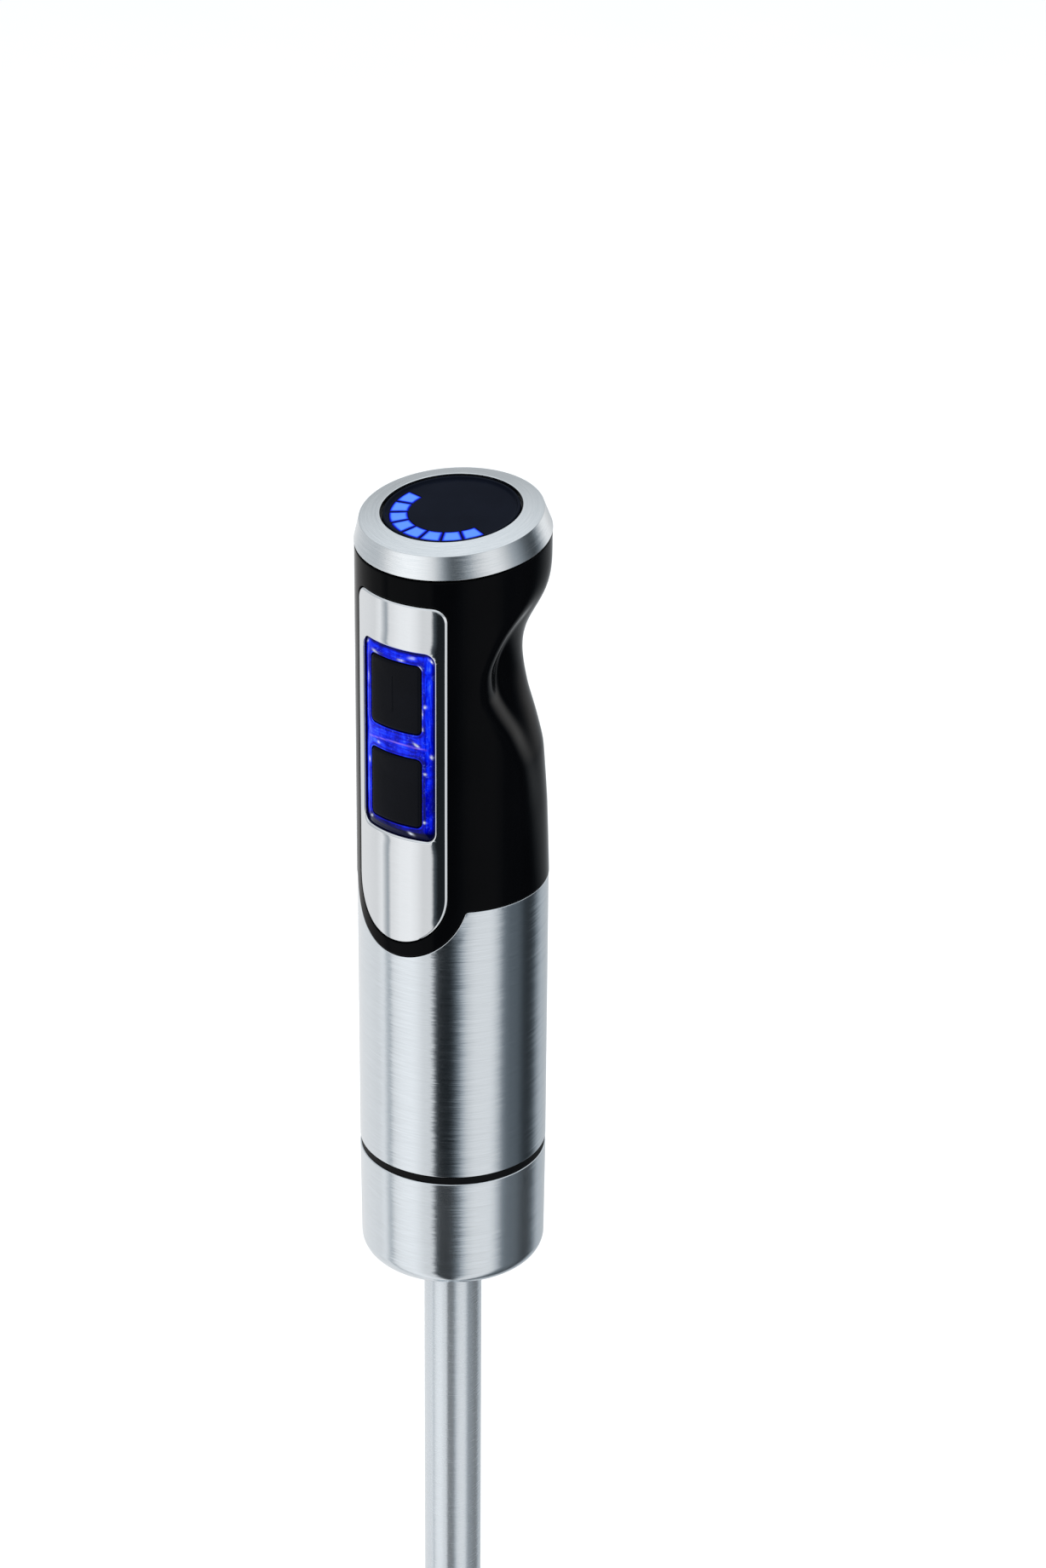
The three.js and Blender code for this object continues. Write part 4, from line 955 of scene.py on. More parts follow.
def build_light_frame():
    s = Shape()
    rim = lambda d: rrect(-13.4 - d, 13.4 + d, 323.75 - d, 384.55 + d, 2.85 + d, 10, 18, 40)
    opens = [(lambda d, z0=z0, z1=z1: rrect(-9.55 - d, 9.55 + d, z0 - 0.3 - d, z1 + 0.3 + d, 1.9 + d, 8, 14, 18))
             for z0, z1 in BUTTONS.values()]
    step = 0.42
    edge = [(0.25, 0.0), (0.10, 0.05), (0.02, 0.16), (0.0, 0.35)]
    o, hs = rim(-0.25), [h(0.25) for h in opens]
    p, tris, spans = fill(o, hs, step)
    do, di = distance(p, [rim(0.0)]), distance(p, [h(0.0) for h in opens])
    t = do / (do + di)
    crown = 1.0 - np.abs(2 * t - 1) ** 2.6
    crest = 354.35 - 0.0075 * (p[:, 0] - 2.0) ** 2 * (p[:, 0] > 2.0) - 0.018 * (p[:, 0] - 2.0) ** 2 * (p[:, 0] < 2.0) * 0.5
    run = np.clip((11.4 - np.abs(p[:, 0])) / 1.2, 0, 1)
    ridge = np.exp(-((p[:, 1] - crest) / 0.34) ** 2) * run
    rise = np.clip(t / 0.72, 0, 1)
    r = 28.42 + 0.66 * rise * rise * (3 - 2 * rise) + 0.10 * crown + 0.07 * ridge
    bar = np.clip((np.abs(p[:, 0]) - 9.0) / 1.2, 0, 1)
    # painted highlights, white glints put on the frame's corners: place, half lengths, turn
    glint = np.zeros(len(p))
    for gu, gz, gl, gw, turn in PAINTED_GLINTS:
        c, d = math.cos(math.radians(turn)), math.sin(math.radians(turn))
        a = (p[:, 0] - gu) * c + (p[:, 1] - gz) * d
        b = -(p[:, 0] - gu) * d + (p[:, 1] - gz) * c
        glint = np.maximum(glint, np.exp(-((a / gl) ** 2 + (b / gw) ** 2)))
    x = R0 * np.sin(p[:, 0] / R0)
    ids = s.pts(np.c_[x, -np.sqrt(r * r - x * x), p[:, 1]])
    # the attributes need one value per point
    s.at.setdefault("border", []).append((int(ids[0]), do))
    s.at.setdefault("lip", []).append((int(ids[0]), di))
    s.at.setdefault("bar", []).append((int(ids[0]), bar))
    s.at.setdefault("glint", []).append((int(ids[0]), glint))
    # narrow band along the crest that carries the painted pinkish highlight line
    s.at.setdefault("ridge", []).append((int(ids[0]), np.exp(-((p[:, 1] - crest) / 0.17) ** 2) * run))
    s.tris(ids, tris)
    pb, tb, sb = fill(rim(0.0), [h(0.0) for h in opens], 2.0)
    xb = R0 * np.sin(pb[:, 0] / R0)
    back = s.pts(np.c_[xb, np.full(len(xb), -23.6), pb[:, 1]])
    s.tris(back, tb)
    for k, (fn, sign) in enumerate([(rim, -1)] + [(h, 1) for h in opens]):
        prev, rk = ids[spans[k]], r[spans[k]]
        for ins, down in edge[1:]:
            cur = s.pts(front_pos(fn(sign * ins), rk - down))
            s.band(prev, cur)
            prev = cur
        s.band(prev, back[sb[k]])
    return s.make("button_light", M["lit_clear"], "motor_unit", ["button_light_frame"])


def build_button(which):
    z0, z1 = BUTTONS[which]
    mid = (z0 + z1) / 2
    s = Shape()
    out = lambda d: rrect(-9.25 - d, 9.25 + d, z0 - d, z1 + d, 1.6 + d, 9, 16, 20)
    edge = [(0.85, 0.0), (0.66, 0.03), (0.46, 0.10), (0.28, 0.22), (0.13, 0.40), (0.04, 0.62), (0.0, 0.9)]
    extra = None
    if which == "upper":
        g = []
        for x in (-0.5, -0.3, -0.16, -0.06, 0.0, 0.06, 0.16, 0.3, 0.5):
            for z in np.arange(mid - 6.2, mid + 7.4, 0.35):
                g.append((x, z))
        extra = np.array(g)

    def face(p):
        d = distance(p, [out(0.0)])
        dish = -0.16 * np.clip((d - 0.8) / 6.0, 0, 1) ** 1.5
        if which == "upper":
            on = np.clip((6.0 - np.abs(p[:, 1] - mid - 0.5)) / 0.3, 0, 1)
            dish = dish - 0.14 * np.clip(1 - np.abs(p[:, 0]) / 0.17, 0, 1) * on
        return dish

    o = out(-edge[0][0])
    p, tris, spans = fill(o, [], 0.8, 0.6, extra)
    r = 29.45 + face(p)
    ids = s.pts(front_pos(p, r))
    s.tris(ids, tris)
    prev, rk = ids[spans[0]], r[spans[0]]
    for ins, down in edge[1:]:
        cur = s.pts(front_pos(out(-ins), rk - down))
        s.band(prev, cur)
        prev = cur
    c = out(0.0)
    x = R0 * np.sin(c[:, 0] / R0)
    b1 = s.pts(np.c_[x, np.full(len(x), -25.4), c[:, 1]])
    s.band(prev, b1)
    c2 = out(-0.2)
    pb, tb, sb = fill(c2, [], 2.4)
    xb = R0 * np.sin(pb[:, 0] / R0)
    bk = s.pts(np.c_[xb, np.full(len(xb), -25.2), pb[:, 1]])
    s.tris(bk, tb)
    s.band(b1, bk[sb[0]])
    # stem that works the switch
    a = np.arange(28) * 2 * math.pi / 28
    rings = []
    for rr, y in ((0.0, -25.3), (2.5, -25.3), (2.5, -24.3), (2.35, -24.15), (0.0, -24.15)):
        if rr == 0:
            rings.append(s.pts([[0, y, mid]]))
        else:
            rings.append(s.pts(np.c_[rr * np.cos(a), np.full(28, y), mid + rr * np.sin(a)]))
    s.fan(rings[1], rings[0][0])
    s.band(rings[1], rings[2])
    s.band(rings[2], rings[3])
    s.fan(rings[3], rings[4][0])
    return s.make(f"{which}_button_cap", M["button_black"], f"{which}_button", [f"{which}_button"])


# ------------------------------------------------------------------ leaning dial
def build_dial_ring():
    s = Shape()
    prof = fillet([(28.05, 0.02, 0.1), (29.53, 0.02, 0.16), (27.47, 7.03, 0.30), (21.17, 8.42, 0.22), (21.17, 6.22, 0.1),
                   (26.1, 6.22, 0.2)], True, 12)
    s.lathe([(r, z) for r, z in prof], 240)
    return s.make("dial_knob_ring", M["satin_aluminium"], "speed_dial", ["dial_ring"], DIAL, sharp=50)


LEVELS, L_START, L_PITCH, L_WIDTH = 8, -99.8, 21.3, 19.2


def level_cell(i, d, r_in=13.0, r_out=18.4, corner=0.3):
    """outline of one lit segment in the dial's plane, grown by d"""
    a0 = math.radians(L_START + i * L_PITCH - 90)
    a1 = a0 + math.radians(L_WIDTH)
    ro, ri = r_out + d, r_in - d
    c = max(0.05, corner + d)

    def on(r, a):
        return np.array([r * math.cos(a), r * math.sin(a)])

    # sides are parallel offsets of the radial lines
    def side(r, a, sgn, off):
        return a + sgn * math.asin(off / r)

    nseg = 5
    # four corner centres
    centres = [(ro - c, side(ro - c, a0, 1, c - d)), (ro - c, side(ro - c, a1, -1, c - d)),
               (ri + c, side(ri + c, a1, -1, c - d)), (ri + c, side(ri + c, a0, 1, c - d))]
    out = []
    p0, p1, p2, p3 = [on(*q) for q in centres]

    def corner_arc(p, ang_from, ang_to):
        a = np.linspace(ang_from, ang_to, nseg + 1)
        return np.c_[p[0] + c * np.cos(a), p[1] + c * np.sin(a)]

    h = math.pi / 2
    out.append(corner_arc(p0, a0 - h, centres[0][1]))
    th = np.linspace(centres[0][1], centres[1][1], 12)[1:-1]
    out.append(np.c_[ro * np.cos(th), ro * np.sin(th)])
    out.append(corner_arc(p1, centres[1][1], a1 + h))
    q1, q2 = out[-1][-1], p2 + c * np.array([math.cos(a1 + h), math.sin(a1 + h)])
    out.append(line(q1, q2, 8)[1:])
    out.append(corner_arc(p2, a1 + h, centres[2][1] + math.pi))
    th = np.linspace(centres[2][1], centres[3][1], 10)[1:-1]
    out.append(np.c_[ri * np.cos(th), ri * np.sin(th)])
    out.append(corner_arc(p3, centres[3][1] + math.pi, a0 - h + 2 * math.pi))
    q3, q0 = out[-1][-1], p0 + c * np.array([math.cos(a0 - h), math.sin(a0 - h)])
    out.append(line(q3, q0, 8)[1:])
    return np.vstack(out)


def flat(p, z):
    return np.c_[p[:, 0], p[:, 1], np.broadcast_to(np.asarray(z, float), (len(p),))]


def circle(r, n):
    a = np.arange(n) * 2 * math.pi / n
    return np.c_[r * np.cos(a), r * np.sin(a)]


def build_disc():
    s = Shape()
    n = 220
    top = 7.22
    # the face lies a little below a raised lip
    rim = [(18.84, top), (18.98, top + 0.03), (19.12, top + 0.14), (19.44, 7.66), (19.52, 7.82), (19.62, 7.93),
           (19.76, 7.98), (20.0, 7.985), (20.2, 7.96), (20.33, 7.88), (20.38, 7.75), (20.38, 5.9), (20.3, 5.72),
           (19.6, 5.32)]
    cells = [level_cell(i, 0.15) for i in range(LEVELS)]
    cells_top = [level_cell(i, 0.21) for i in range(LEVELS)]
    p, tris, spans = fill(circle(rim[0][0], n), cells_top, 0.9)
    ids = s.pts(flat(p, top))
    s.tris(ids, tris)
    prev = ids[spans[0]]
    for r, z in rim[1:-1]:
        cur = s.pts(flat(circle(r, n), z))
        s.band(prev, cur)
        prev = cur
    pb, tb, sb = fill(circle(rim[-1][0], n), cells, 2.0)
    back = s.pts(flat(pb, 5.32))
    s.tris(back, tb)
    s.band(prev, back[sb[0]])
    for k in range(LEVELS):
        a = ids[spans[k + 1]]
        b = s.pts(flat(cells[k], top - 0.06))
        s.band(a, b)
        s.band(b, back[sb[k + 1]])
    return s.make("display_window", M["display_black"], "motor_unit", ["display_disc"], DIAL)


def build_levels():
    s = Shape()
    base = fillet([(11.6, 2.4, 0.1), (18.2, 2.4, 0.1), (18.2, 4.55, 0.1), (11.6, 4.55, 0.1)], True, 30)
    s.lathe([(r, z) for r, z in base], 120)
    top = 7.17
    for i in range(LEVELS):
        edge = [(0.14, 0.0), (0.07, 0.02), (0.02, 0.07), (0.0, 0.16)]
        o = level_cell(i, -edge[0][0])
        p, tris, spans = fill(o, [], 0.34)
        near = distance(p, [level_cell(i, 0.0)], 0.1)
        ids = s.pts(flat(p, top))
        s.at.setdefault("edge", []).append((int(ids[0]), np.clip(near / 1.0, 0, 1)))
        s.tris(ids, tris)
        prev = ids[spans[0]]
        for ins, down in edge[1:]:
            cur = s.pts(flat(level_cell(i, -ins), top - down), edge=0.04)
            s.band(prev, cur)
            prev = cur
        pb, tb, sb = fill(level_cell(i, 0.0), [], 1.0)
        bk = s.pts(flat(pb, 4.5))
        s.tris(bk, tb)
        s.band(prev, bk[sb[0]])
    return s.make("level_segments", M["level_light"], "motor_unit", ["level_light_guide"], DIAL)


# ------------------------------------------------------------------ leg
BELL_H = 36.0
BELL_OUT = [(33.0, 0.0), (33.0, 5.0), (32.2, 12.0), (29.5, 18.8), (24.6, 23.2), (18.3, 27.6), (13.0, 31.3), (10.3, 33.6),
            (9.1, 36.0)]
BELL_IN = [(31.4, 0.0), (31.3, 5.0), (30.4, 11.5), (27.7, 17.5), (23.0, 21.5), (15.5, 25.2), (10.2, 25.2)]


def curve(rows, fac=0.0, per=10):
    """smooth curve through the rows, kept from swinging outside them"""
    p = np.array(rows, float)
    q = np.vstack([2 * p[0] - p[1], p, 2 * p[-1] - p[-2]])
    out = []
    for i in range(1, len(q) - 2):
        t = np.linspace(0, 1, per + 1)[:-1, None]
        a, b, c, d = q[i - 1], q[i], q[i + 1], q[i + 2]
        out.append(0.5 * (2 * b + (c - a) * t + (2 * a - 5 * b + 4 * c - d) * t ** 2 + (3 * b - a - 3 * c + d) * t ** 3))
    out = np.vstack(out + [p[-1:]])
    out[:, 0] = np.minimum(out[:, 0], p[:, 0].max())
    return out


def bell_line(rows):
    c = curve(rows)
    length = np.r_[0, np.cumsum(np.linalg.norm(np.diff(c, axis=0), axis=1))]
    return c, length


def build_bell():
    s = Shape()
    out_c, out_l = bell_line(BELL_OUT)
    in_c, in_l = bell_line(BELL_IN[:-1])
    k = 33.0
    lo, hi = -math.pi * k, math.pi * k
    n_top = 217
    us = np.linspace(lo, hi, n_top)
    f = 0.3

    def radius_at(c, z):
        m = np.argmax(c[:, 1])
        return np.interp(z, c[:m + 1, 1], c[:m + 1, 0])

    def place(p, c, length, down=0.0):
        r = np.interp(p[:, 1], length, c[:, 0])
        z = np.interp(p[:, 1], length, c[:, 1])
        a = p[:, 0] / k
        return np.c_[(r - down) * np.sin(a), -(r - down) * np.cos(a), z]

    def rim(d, c, length):
        """lower edge with four arches, moved d into the steel, as (angle length, height along the line)"""
        pts = []
        half = math.pi / 2
        for q in range(4):
            mid = -math.pi + half * (q + 0.5)
            a, b, foot = 9.0 + d, 6.9 + d, 1.5
            rc = 1.3 - d
            x = [-(9.0 + 1.3) + rc * math.cos(math.radians(t)) for t in np.linspace(-90, 0, 7)]
            z = [1.3 + rc * math.sin(math.radians(t)) for t in np.linspace(-90, 0, 7)]
            for t in np.linspace(180, 0, 41):
                x.append(a * math.cos(math.radians(t)))
                z.append(foot + b * math.sin(math.radians(t)))
            x += [(9.0 + 1.3) - rc * math.cos(math.radians(t)) for t in np.linspace(0, -90, 7)]
            z += [1.3 + rc * math.sin(math.radians(t)) for t in np.linspace(0, -90, 7)]
            x, z = np.array(x), np.array(z)
            ang = mid + np.arcsin(np.clip(x / radius_at(c, z), -1, 1))
            sec = np.c_[ang * k, np.interp(z, c[:40, 1], length[:40])]
            flat_a = line(((mid - half / 2) * k, d), (sec[0, 0], d), 16)
            flat_b = line((sec[-1, 0], d), ((mid + half / 2) * k, d), 16)[1:]
            pts += [flat_a, sec, flat_b]
        return np.vstack(pts + [[[hi, d]]])

    def skin(c, length, step, inset):
        top = np.c_[us, np.full(n_top, length[-1])]
        bot = rim(inset, c, length)
        zs = np.linspace(bot[0, 1], length[-1], 26)[1:-1]
        outer = np.vstack([bot, np.c_[np.full(24, hi), zs], top[::-1], np.c_[np.full(24, lo), zs[::-1]]])
        p, tris, _ = fill(outer, [], step)
        ids = s.pts(place(p, c, length))
        s.tris(ids, tris)
        return ids[len(bot) + 24:len(bot) + 24 + n_top][::-1], ids[:len(bot)]

    t_o, b_o = skin(out_c, out_l, 1.9, f)
    t_i, b_i = skin(in_c, in_l, 2.3, f)
    prev = b_o
    for out_, down in quarter(f, 4)[1:]:
        cur = s.pts(place(rim(out_, out_c, out_l), out_c, out_l, down))
        s.band(prev, cur, closed=False)
        prev = cur
    for out_, down in quarter(f, 4)[1:][::-1]:
        cur = s.pts(place(rim(out_, in_c, in_l), in_c, in_l, -down))
        s.band(prev, cur, closed=False)
        prev = cur
    s.band(prev, b_i, closed=False)
    # neck that the tube is pressed on, and the boss round the shaft
    rest = fillet([(9.1, BELL_H), (8.1, BELL_H, 0.1), (8.1, BELL_H + 11, 0.2), (7.6, BELL_H + 12, 0.2),
                   (6.0, BELL_H + 12, 0.1), (6.0, 24.4, 0.1), (8.3, 24.4, 0.1), (8.3, 21.6, 0.25), (10.2, 21.6, 0.5),
                   (10.2, 25.0, 1.2), (15.5, 25.2, 3.0), (23.0, 21.5)], False, 14)
    a = us / k
    prev = t_o
    for i, (r, z) in enumerate(rest[1:-1]):
        cur = s.pts(np.c_[r * np.sin(a), -r * np.cos(a), np.full(n_top, z)])
        s.band(prev, cur, closed=False)
        prev = cur
    s.band(prev, t_i, closed=False)
    s.make("bell_shell", M["bell_steel"], "leg", ["bell_guard"], weld=0.004)


def build_blade():
    s = Shape()
    wing = np.array([(6.6, -4.35), (11, -4.9), (17, -4.6), (22, -3.0), (24.9, -0.1), (25.5, 2.0), (22, 3.0), (17, 3.6),
                     (11, 4.2), (6.6, 4.3)])
    c = curve(wing, per=9)
    hub = arc(0, 0, 6.9, 42, 138, 14)[1:-1]
    half = np.vstack([c, hub])
    loop = np.vstack([half, -half])
    hole = circle(2.6, 40)
    p, tris, spans = fill(loop, [hole], 0.55)
    d = distance(p, [loop], 0.2)

    def height(q):
        side = np.where(q[:, 0] < 0, -1.0, 1.0)
        x, y = q[:, 0] * side, q[:, 1] * side
        bend = side * np.sqrt(np.maximum(x - 6.6, 0) ** 2 + 0.8) * 0.17 * (x > 0) - side * 0.17 * math.sqrt(0.8)
        return 13.0 + bend * np.clip((x - 3.0) / 3.0, 0, 1) + y * 0.10 * np.clip((x - 6) / 4, 0, 1)

    ground = np.clip((np.abs(p[:, 0]) - 8.0) / 1.5, 0, 1)
    thick = 1.4 - ground * 1.05 * np.clip(1 - d / 1.9, 0, 1)
    thick = np.where(ground <= 0, 1.4, thick)
    z = height(p)
    ids = s.pts(np.c_[p, z + thick])
    low = s.pts(np.c_[p, z])
    s.tris(ids, tris)
    s.tris(low, tris[:, ::-1])
    s.band(ids[spans[0]], low[spans[0]])
    s.band(ids[spans[1]], low[spans[1]])
    s.make("blade_wings", M["bright_steel"], "blade_shaft", ["blade"], sharp=24, weighted=False)


def turned(name, prof, mat, body, node, n=96, step=16, sharp=38, matrix=None):
    s = Shape()
    s.lathe([(r, z) for r, z in fillet(prof, True, step)], n)
    return s.make(name, M[mat], body, [node], matrix=matrix, sharp=sharp)


def build_leg():
    turned("seam_ring", [(22.35, 204.1, 0.1), (27.7, 204.1, 0.1), (27.7, 205.7), (28.75, 205.7, 0.22),
                         (28.75, 207.7, 0.22), (22.35, 207.7, 0.1)], "black_rubber", "coupling_ring",
           "coupling_ring", 200)

    s = Shape()
    s.lathe(fillet([(9.35, 166.72, 0.06), (12.5, 167.0, 3.0), (23.2, 167.5, 0.0)], False, 8).tolist()[:-1]
            + arc(28.71 - 5.4, 167.5 + 5.4, 5.4, -88, 0, 22).tolist()
            + fillet([(28.72, 174.5), (29.02, 205.38, 0.30), (28.14, 205.4, 0.2), (27.81, 173.2, 2.0), (26.2, 169.6, 1.0),
                      (23.2, 168.5, 1.0), (9.35, 168.3, 0.1)], False, 16).tolist(), 220)
    s.make("leg_cup_shell", M["cup_steel"], "leg", ["leg_cup"])

    turned("leg_tube_pipe", [(8.3, 36.25, 0.1), (9.08, 36.25, 0.18), (9.1, 60.0), (9.1, 110.0), (9.1, 150.0),
                             (9.1, 175.9, 0.1), (8.3, 175.9, 0.1)], "tube_steel", "leg", "leg_tube", 128)
    turned("cup_liner", [(9.35, 168.7, 0.1), (22.8, 168.7, 1.0), (26.0, 170.6, 1.5), (27.5, 174, 3.0), (27.73, 203.8, 0.35),
                         (22.37, 203.8, 0.35), (22.35, 184.6, 0.8), (9.0, 184.6, 0.6), (9.0, 188.0, 0.25),
                         (6.6, 188.0, 0.25), (6.6, 177.4, 0.2), (9.35, 177.4, 0.1)], "black_nylon", "leg",
           "cup_insert", 144)
    turned("upper_bush", [(3.08, 178.0, 0.15), (6.43, 178.0, 0.1), (6.43, 187.6, 0.2), (3.08, 187.6, 0.25)],
           "brass_part", "leg", "upper_shaft_bush", 64)
    turned("lower_bush", [(3.08, 30.0, 0.15), (5.83, 30.0, 0.1), (5.83, 46.5, 0.1), (3.08, 46.5, 0.15)],
           "brass_part", "leg", "lower_shaft_bush", 64)
    turned("lip_seal", [(3.3, 22.0, 0.25), (8.08, 22.0, 0.3), (8.08, 24.1, 0.1), (5.78, 24.1, 0.1), (5.78, 29.6, 0.1),
                        (3.1, 29.6, 0.1), (3.1, 27.5)], "black_rubber", "leg", "shaft_seal", 72)
    turned("driven_rod", [(0, 9.5), (2.4, 9.5, 0.2), (2.4, 19.0, 0.1), (2.99, 19.6, 0.2), (2.99, 195.6, 0.2),
                          (2.6, 196.18, 0.1), (0, 196.18)], "bright_steel", "blade_shaft", "drive_shaft", 64)
    turned("collar", [(2.57, 14.8, 0.1), (4.88, 14.8, 0.2), (4.88, 17.6, 0.4), (4.2, 18.58, 0.3), (2.57, 18.58, 0.2)],
           "bright_steel", "blade_shaft", "blade_collar", 64)
    turned("dome_nut", [(0, 8.22), (2.2, 8.32, 1.5), (3.88, 9.22, 1.2), (4.28, 10.4, 1.0), (4.28, 12.58, 0.25),
                        (2.57, 12.58, 0.1), (2.57, 9.32, 0.1), (0, 9.32)], "bright_steel", "blade_shaft",
           "blade_nut", 64)


def splined(count, r_in, r_out, w, phase=0.0, tip=0.35, outward=True):
    """round outline with teeth, the same number of points for every size"""
    out = []
    for i in range(count):
        a0 = phase + i * 2 * math.pi / count
        h_in, h_out = w / 2 / r_in, w / 2 / r_out
        gap = 2 * math.pi / count
        for t in np.linspace(-gap / 2, -h_in, 8)[:-1]:
            out.append((r_in, a0 + t))
        out.append((r_in, a0 - h_in))
        mid = (r_out - r_in)
        out.append((r_in + mid * 0.5, a0 - (h_in + h_out) / 2))
        out.append((r_out - tip * (1 if outward else -1), a0 - h_out))
        out.append((r_out, a0 - h_out * 0.6))
        out.append((r_out, a0 + h_out * 0.6))
        out.append((r_out - tip * (1 if outward else -1), a0 + h_out))
        out.append((r_in + mid * 0.5, a0 + (h_in + h_out) / 2))
        out.append((r_in, a0 + h_in))
        for t in np.linspace(h_in, gap / 2, 8)[1:-1]:
            out.append((r_in, a0 + t))
    out = np.array(out)
    return np.c_[out[:, 0] * np.cos(out[:, 1]), out[:, 0] * np.sin(out[:, 1])]


def build_couplings():
    s = Shape()
    tooth = lambda d: splined(6, 5.2 - d, 8.08 - d, 1.5 - 2 * d)
    bore = lambda d=0.0: circle(3.15 + d, 48)
    p, t, sp = fill(circle(8.2 - 0.15, 96), [bore(0.15)], 1.2)
    b0 = s.pts(flat(p, 189.0))
    s.tris(b0, t)
    r1 = s.pts(flat(circle(8.2, 96), 189.15))
    r2 = s.pts(flat(circle(8.2, 96), 190.25))
    p2, t2, sp2 = fill(circle(8.2 - 0.05, 96), [tooth(0.0)], 1.2)
    b1 = s.pts(flat(p2, 190.4))
    s.tris(b1, t2)
    s.band(b0[sp[0]], r1)
    s.band(r1, r2)
    s.band(r2, b1[sp2[0]])
    w1 = s.pts(flat(tooth(0.0), 195.2))
    w2 = s.pts(flat(tooth(0.12), 195.75))
    p3, t3, sp3 = fill(tooth(0.35), [bore(0.2)], 1.0)
    b2 = s.pts(flat(p3, 195.98))
    s.tris(b2, t3)
    s.band(b1[sp2[1]], w1)
    s.band(w1, w2)
    s.band(w2, b2[sp3[0]])
    i1 = s.pts(flat(bore(), 195.8))
    i0 = s.pts(flat(bore(), 189.15))
    s.band(b2[sp3[1]], i1)
    s.band(i1, i0)
    s.band(i0, b0[sp[1]])
    s.make("drive_dog", M["white_plastic"], "blade_shaft", ["driven_coupling"])

    s = Shape()
    lug = lambda d: splined(6, 8.86, 7.2 - d, 1.6 + 2 * d, math.pi / 6, 0.3, False)
    ring_ = lambda r: circle(r, 96)
    p, t, sp = fill(ring_(10.8), [ring_(9.15)], 1.2)
    b = s.pts(flat(p, 190.8))
    s.tris(b, t)
    o1 = s.pts(flat(ring_(11.0), 191.0))
    o2 = s.pts(flat(ring_(11.0), 199.6))
    s.band(b[sp[0]], o1)
    s.band(o1, o2)
    p, t, sp4 = fill(ring_(10.7), [ring_(5.6)], 1.4)
    top = s.pts(flat(p, 199.9))
    s.tris(top, t)
    s.band(o2, top[sp4[0]])
    n1 = s.pts(flat(ring_(5.6), 205.4))
    s.band(top[sp4[1]], n1)
    p, t, sp5 = fill(ring_(5.4), [ring_(3.1)], 0.9)
    n2 = s.pts(flat(p, 205.6))
    s.tris(n2, t)
    s.band(n1, n2[sp5[0]])
    c1 = s.pts(flat(ring_(3.1), 198.4))
    s.band(n2[sp5[1]], c1)
    c2 = s.pts(flat(ring_(5.6), 198.4))
    s.band(c1, c2)
    c3 = s.pts(flat(ring_(5.6), 197.4))
    s.band(c2, c3)
    c4 = s.pts(flat(ring_(8.9), 197.4))
    s.band(c3, c4)
    p, t, sp6 = fill(ring_(8.9), [lug(0.12)], 1.0)
    c5 = s.pts(flat(p, 196.5))
    s.tris(c5, t)
    s.band(c4, c5[sp6[0]])
    l1 = s.pts(flat(lug(0.0), 196.3))
    l2 = s.pts(flat(lug(0.0), 192.3))
    s.band(c5[sp6[1]], l1)
    s.band(l1, l2)
    p, t, sp7 = fill(ring_(8.9), [lug(-0.2)], 1.0)
    c6 = s.pts(flat(p, 191.9))
    s.tris(c6, t)
    s.band(l2, c6[sp7[1]])
    c7 = s.pts(flat(ring_(8.9), 191.05))
    s.band(c6[sp7[0]], c7)
    s.band(c7, b[sp[1]])
    s.make("drive_socket", M["white_plastic"], "armature", ["drive_coupling"])


def build_drive_end():
    s = Shape()
    n = 144
    holes = [circle(1.75, 24) + np.array([x, 0.0]) for x in (16.0, -16.0)]
    p, t, sp = fill(circle(18.9, n), [circle(4.6, n)] + holes, 1.8)
    ceil_ = s.pts(flat(p, 209.4))
    s.tris(ceil_, t)
    p, t, sq = fill(circle(25.8, n), [circle(4.6, n)] + holes, 2.2)
    roof = s.pts(flat(p, 213.0))
    s.tris(roof, t)
    prev = ceil_[sp[0]]
    outside = fillet([(18.9, 209.4), (19.2, 209.4, 0.28), (19.2, 186.0, 0.3), (21.1, 186.0, 0.3), (21.88, 187.0, 0.3),
                      (21.88, 193.6, 0.15), (20.6, 193.6, 0.1), (20.6, 196.4, 0.1), (21.88, 196.4, 0.15),
                      (21.88, 208.6, 0.1), (26.0, 208.6, 0.15), (26.0, 212.85, 0.1), (25.8, 213.0)], False, 16)
    for r, z in outside[1:-1]:
        cur = s.pts(flat(circle(r, n), z))
        s.band(prev, cur)
        prev = cur
    s.band(prev, roof[sq[0]])
    for k in (1, 2, 3):
        s.band(roof[sq[k]], ceil_[sp[k]])
    s.make("drive_end_plug", M["black_nylon"], "motor_unit", ["drive_end_cap"])
    turned("plug_seal", [(20.72, 194.1, 0.1), (21.85, 193.92, 0.4), (22.18, 195.0, 0.5), (21.85, 196.08, 0.4),
                         (20.72, 195.9, 0.1)], "black_rubber", "motor_unit", "spigot_o_ring", 144)
    turned("motor_rod", [(0, 199.62), (2.6, 199.62, 0.1), (2.99, 200.2, 0.2), (2.99, 316.8, 0.2), (2.6, 317.38, 0.1),
                         (0, 317.38)], "bright_steel", "armature", "motor_shaft", 64)
    gland = Matrix.Translation((0, 0, 403.0 * MM)) @ Matrix.Rotation(-math.pi / 2, 4, "X")
    turned("gland_sleeve", [(3.4, 23.42, 0.15), (5.18, 23.42, 0.3), (4.28, 25.0, 0.3), (4.28, 29.5, 0.2),
                            (6.18, 29.72, 0.15), (6.18, 30.6, 0.3), (5.2, 31.38, 0.4), (3.4, 31.38, 0.3)],
           "black_rubber", "motor_unit", "cord_gland", 72, 16, 38, gland)


build_handle()
build_sleeve()
build_plate()
build_light_frame()
build_button("upper")
build_button("lower")
build_dial_ring()
build_disc()
build_levels()
build_leg()
build_bell()
build_blade()
build_couplings()
build_drive_end()

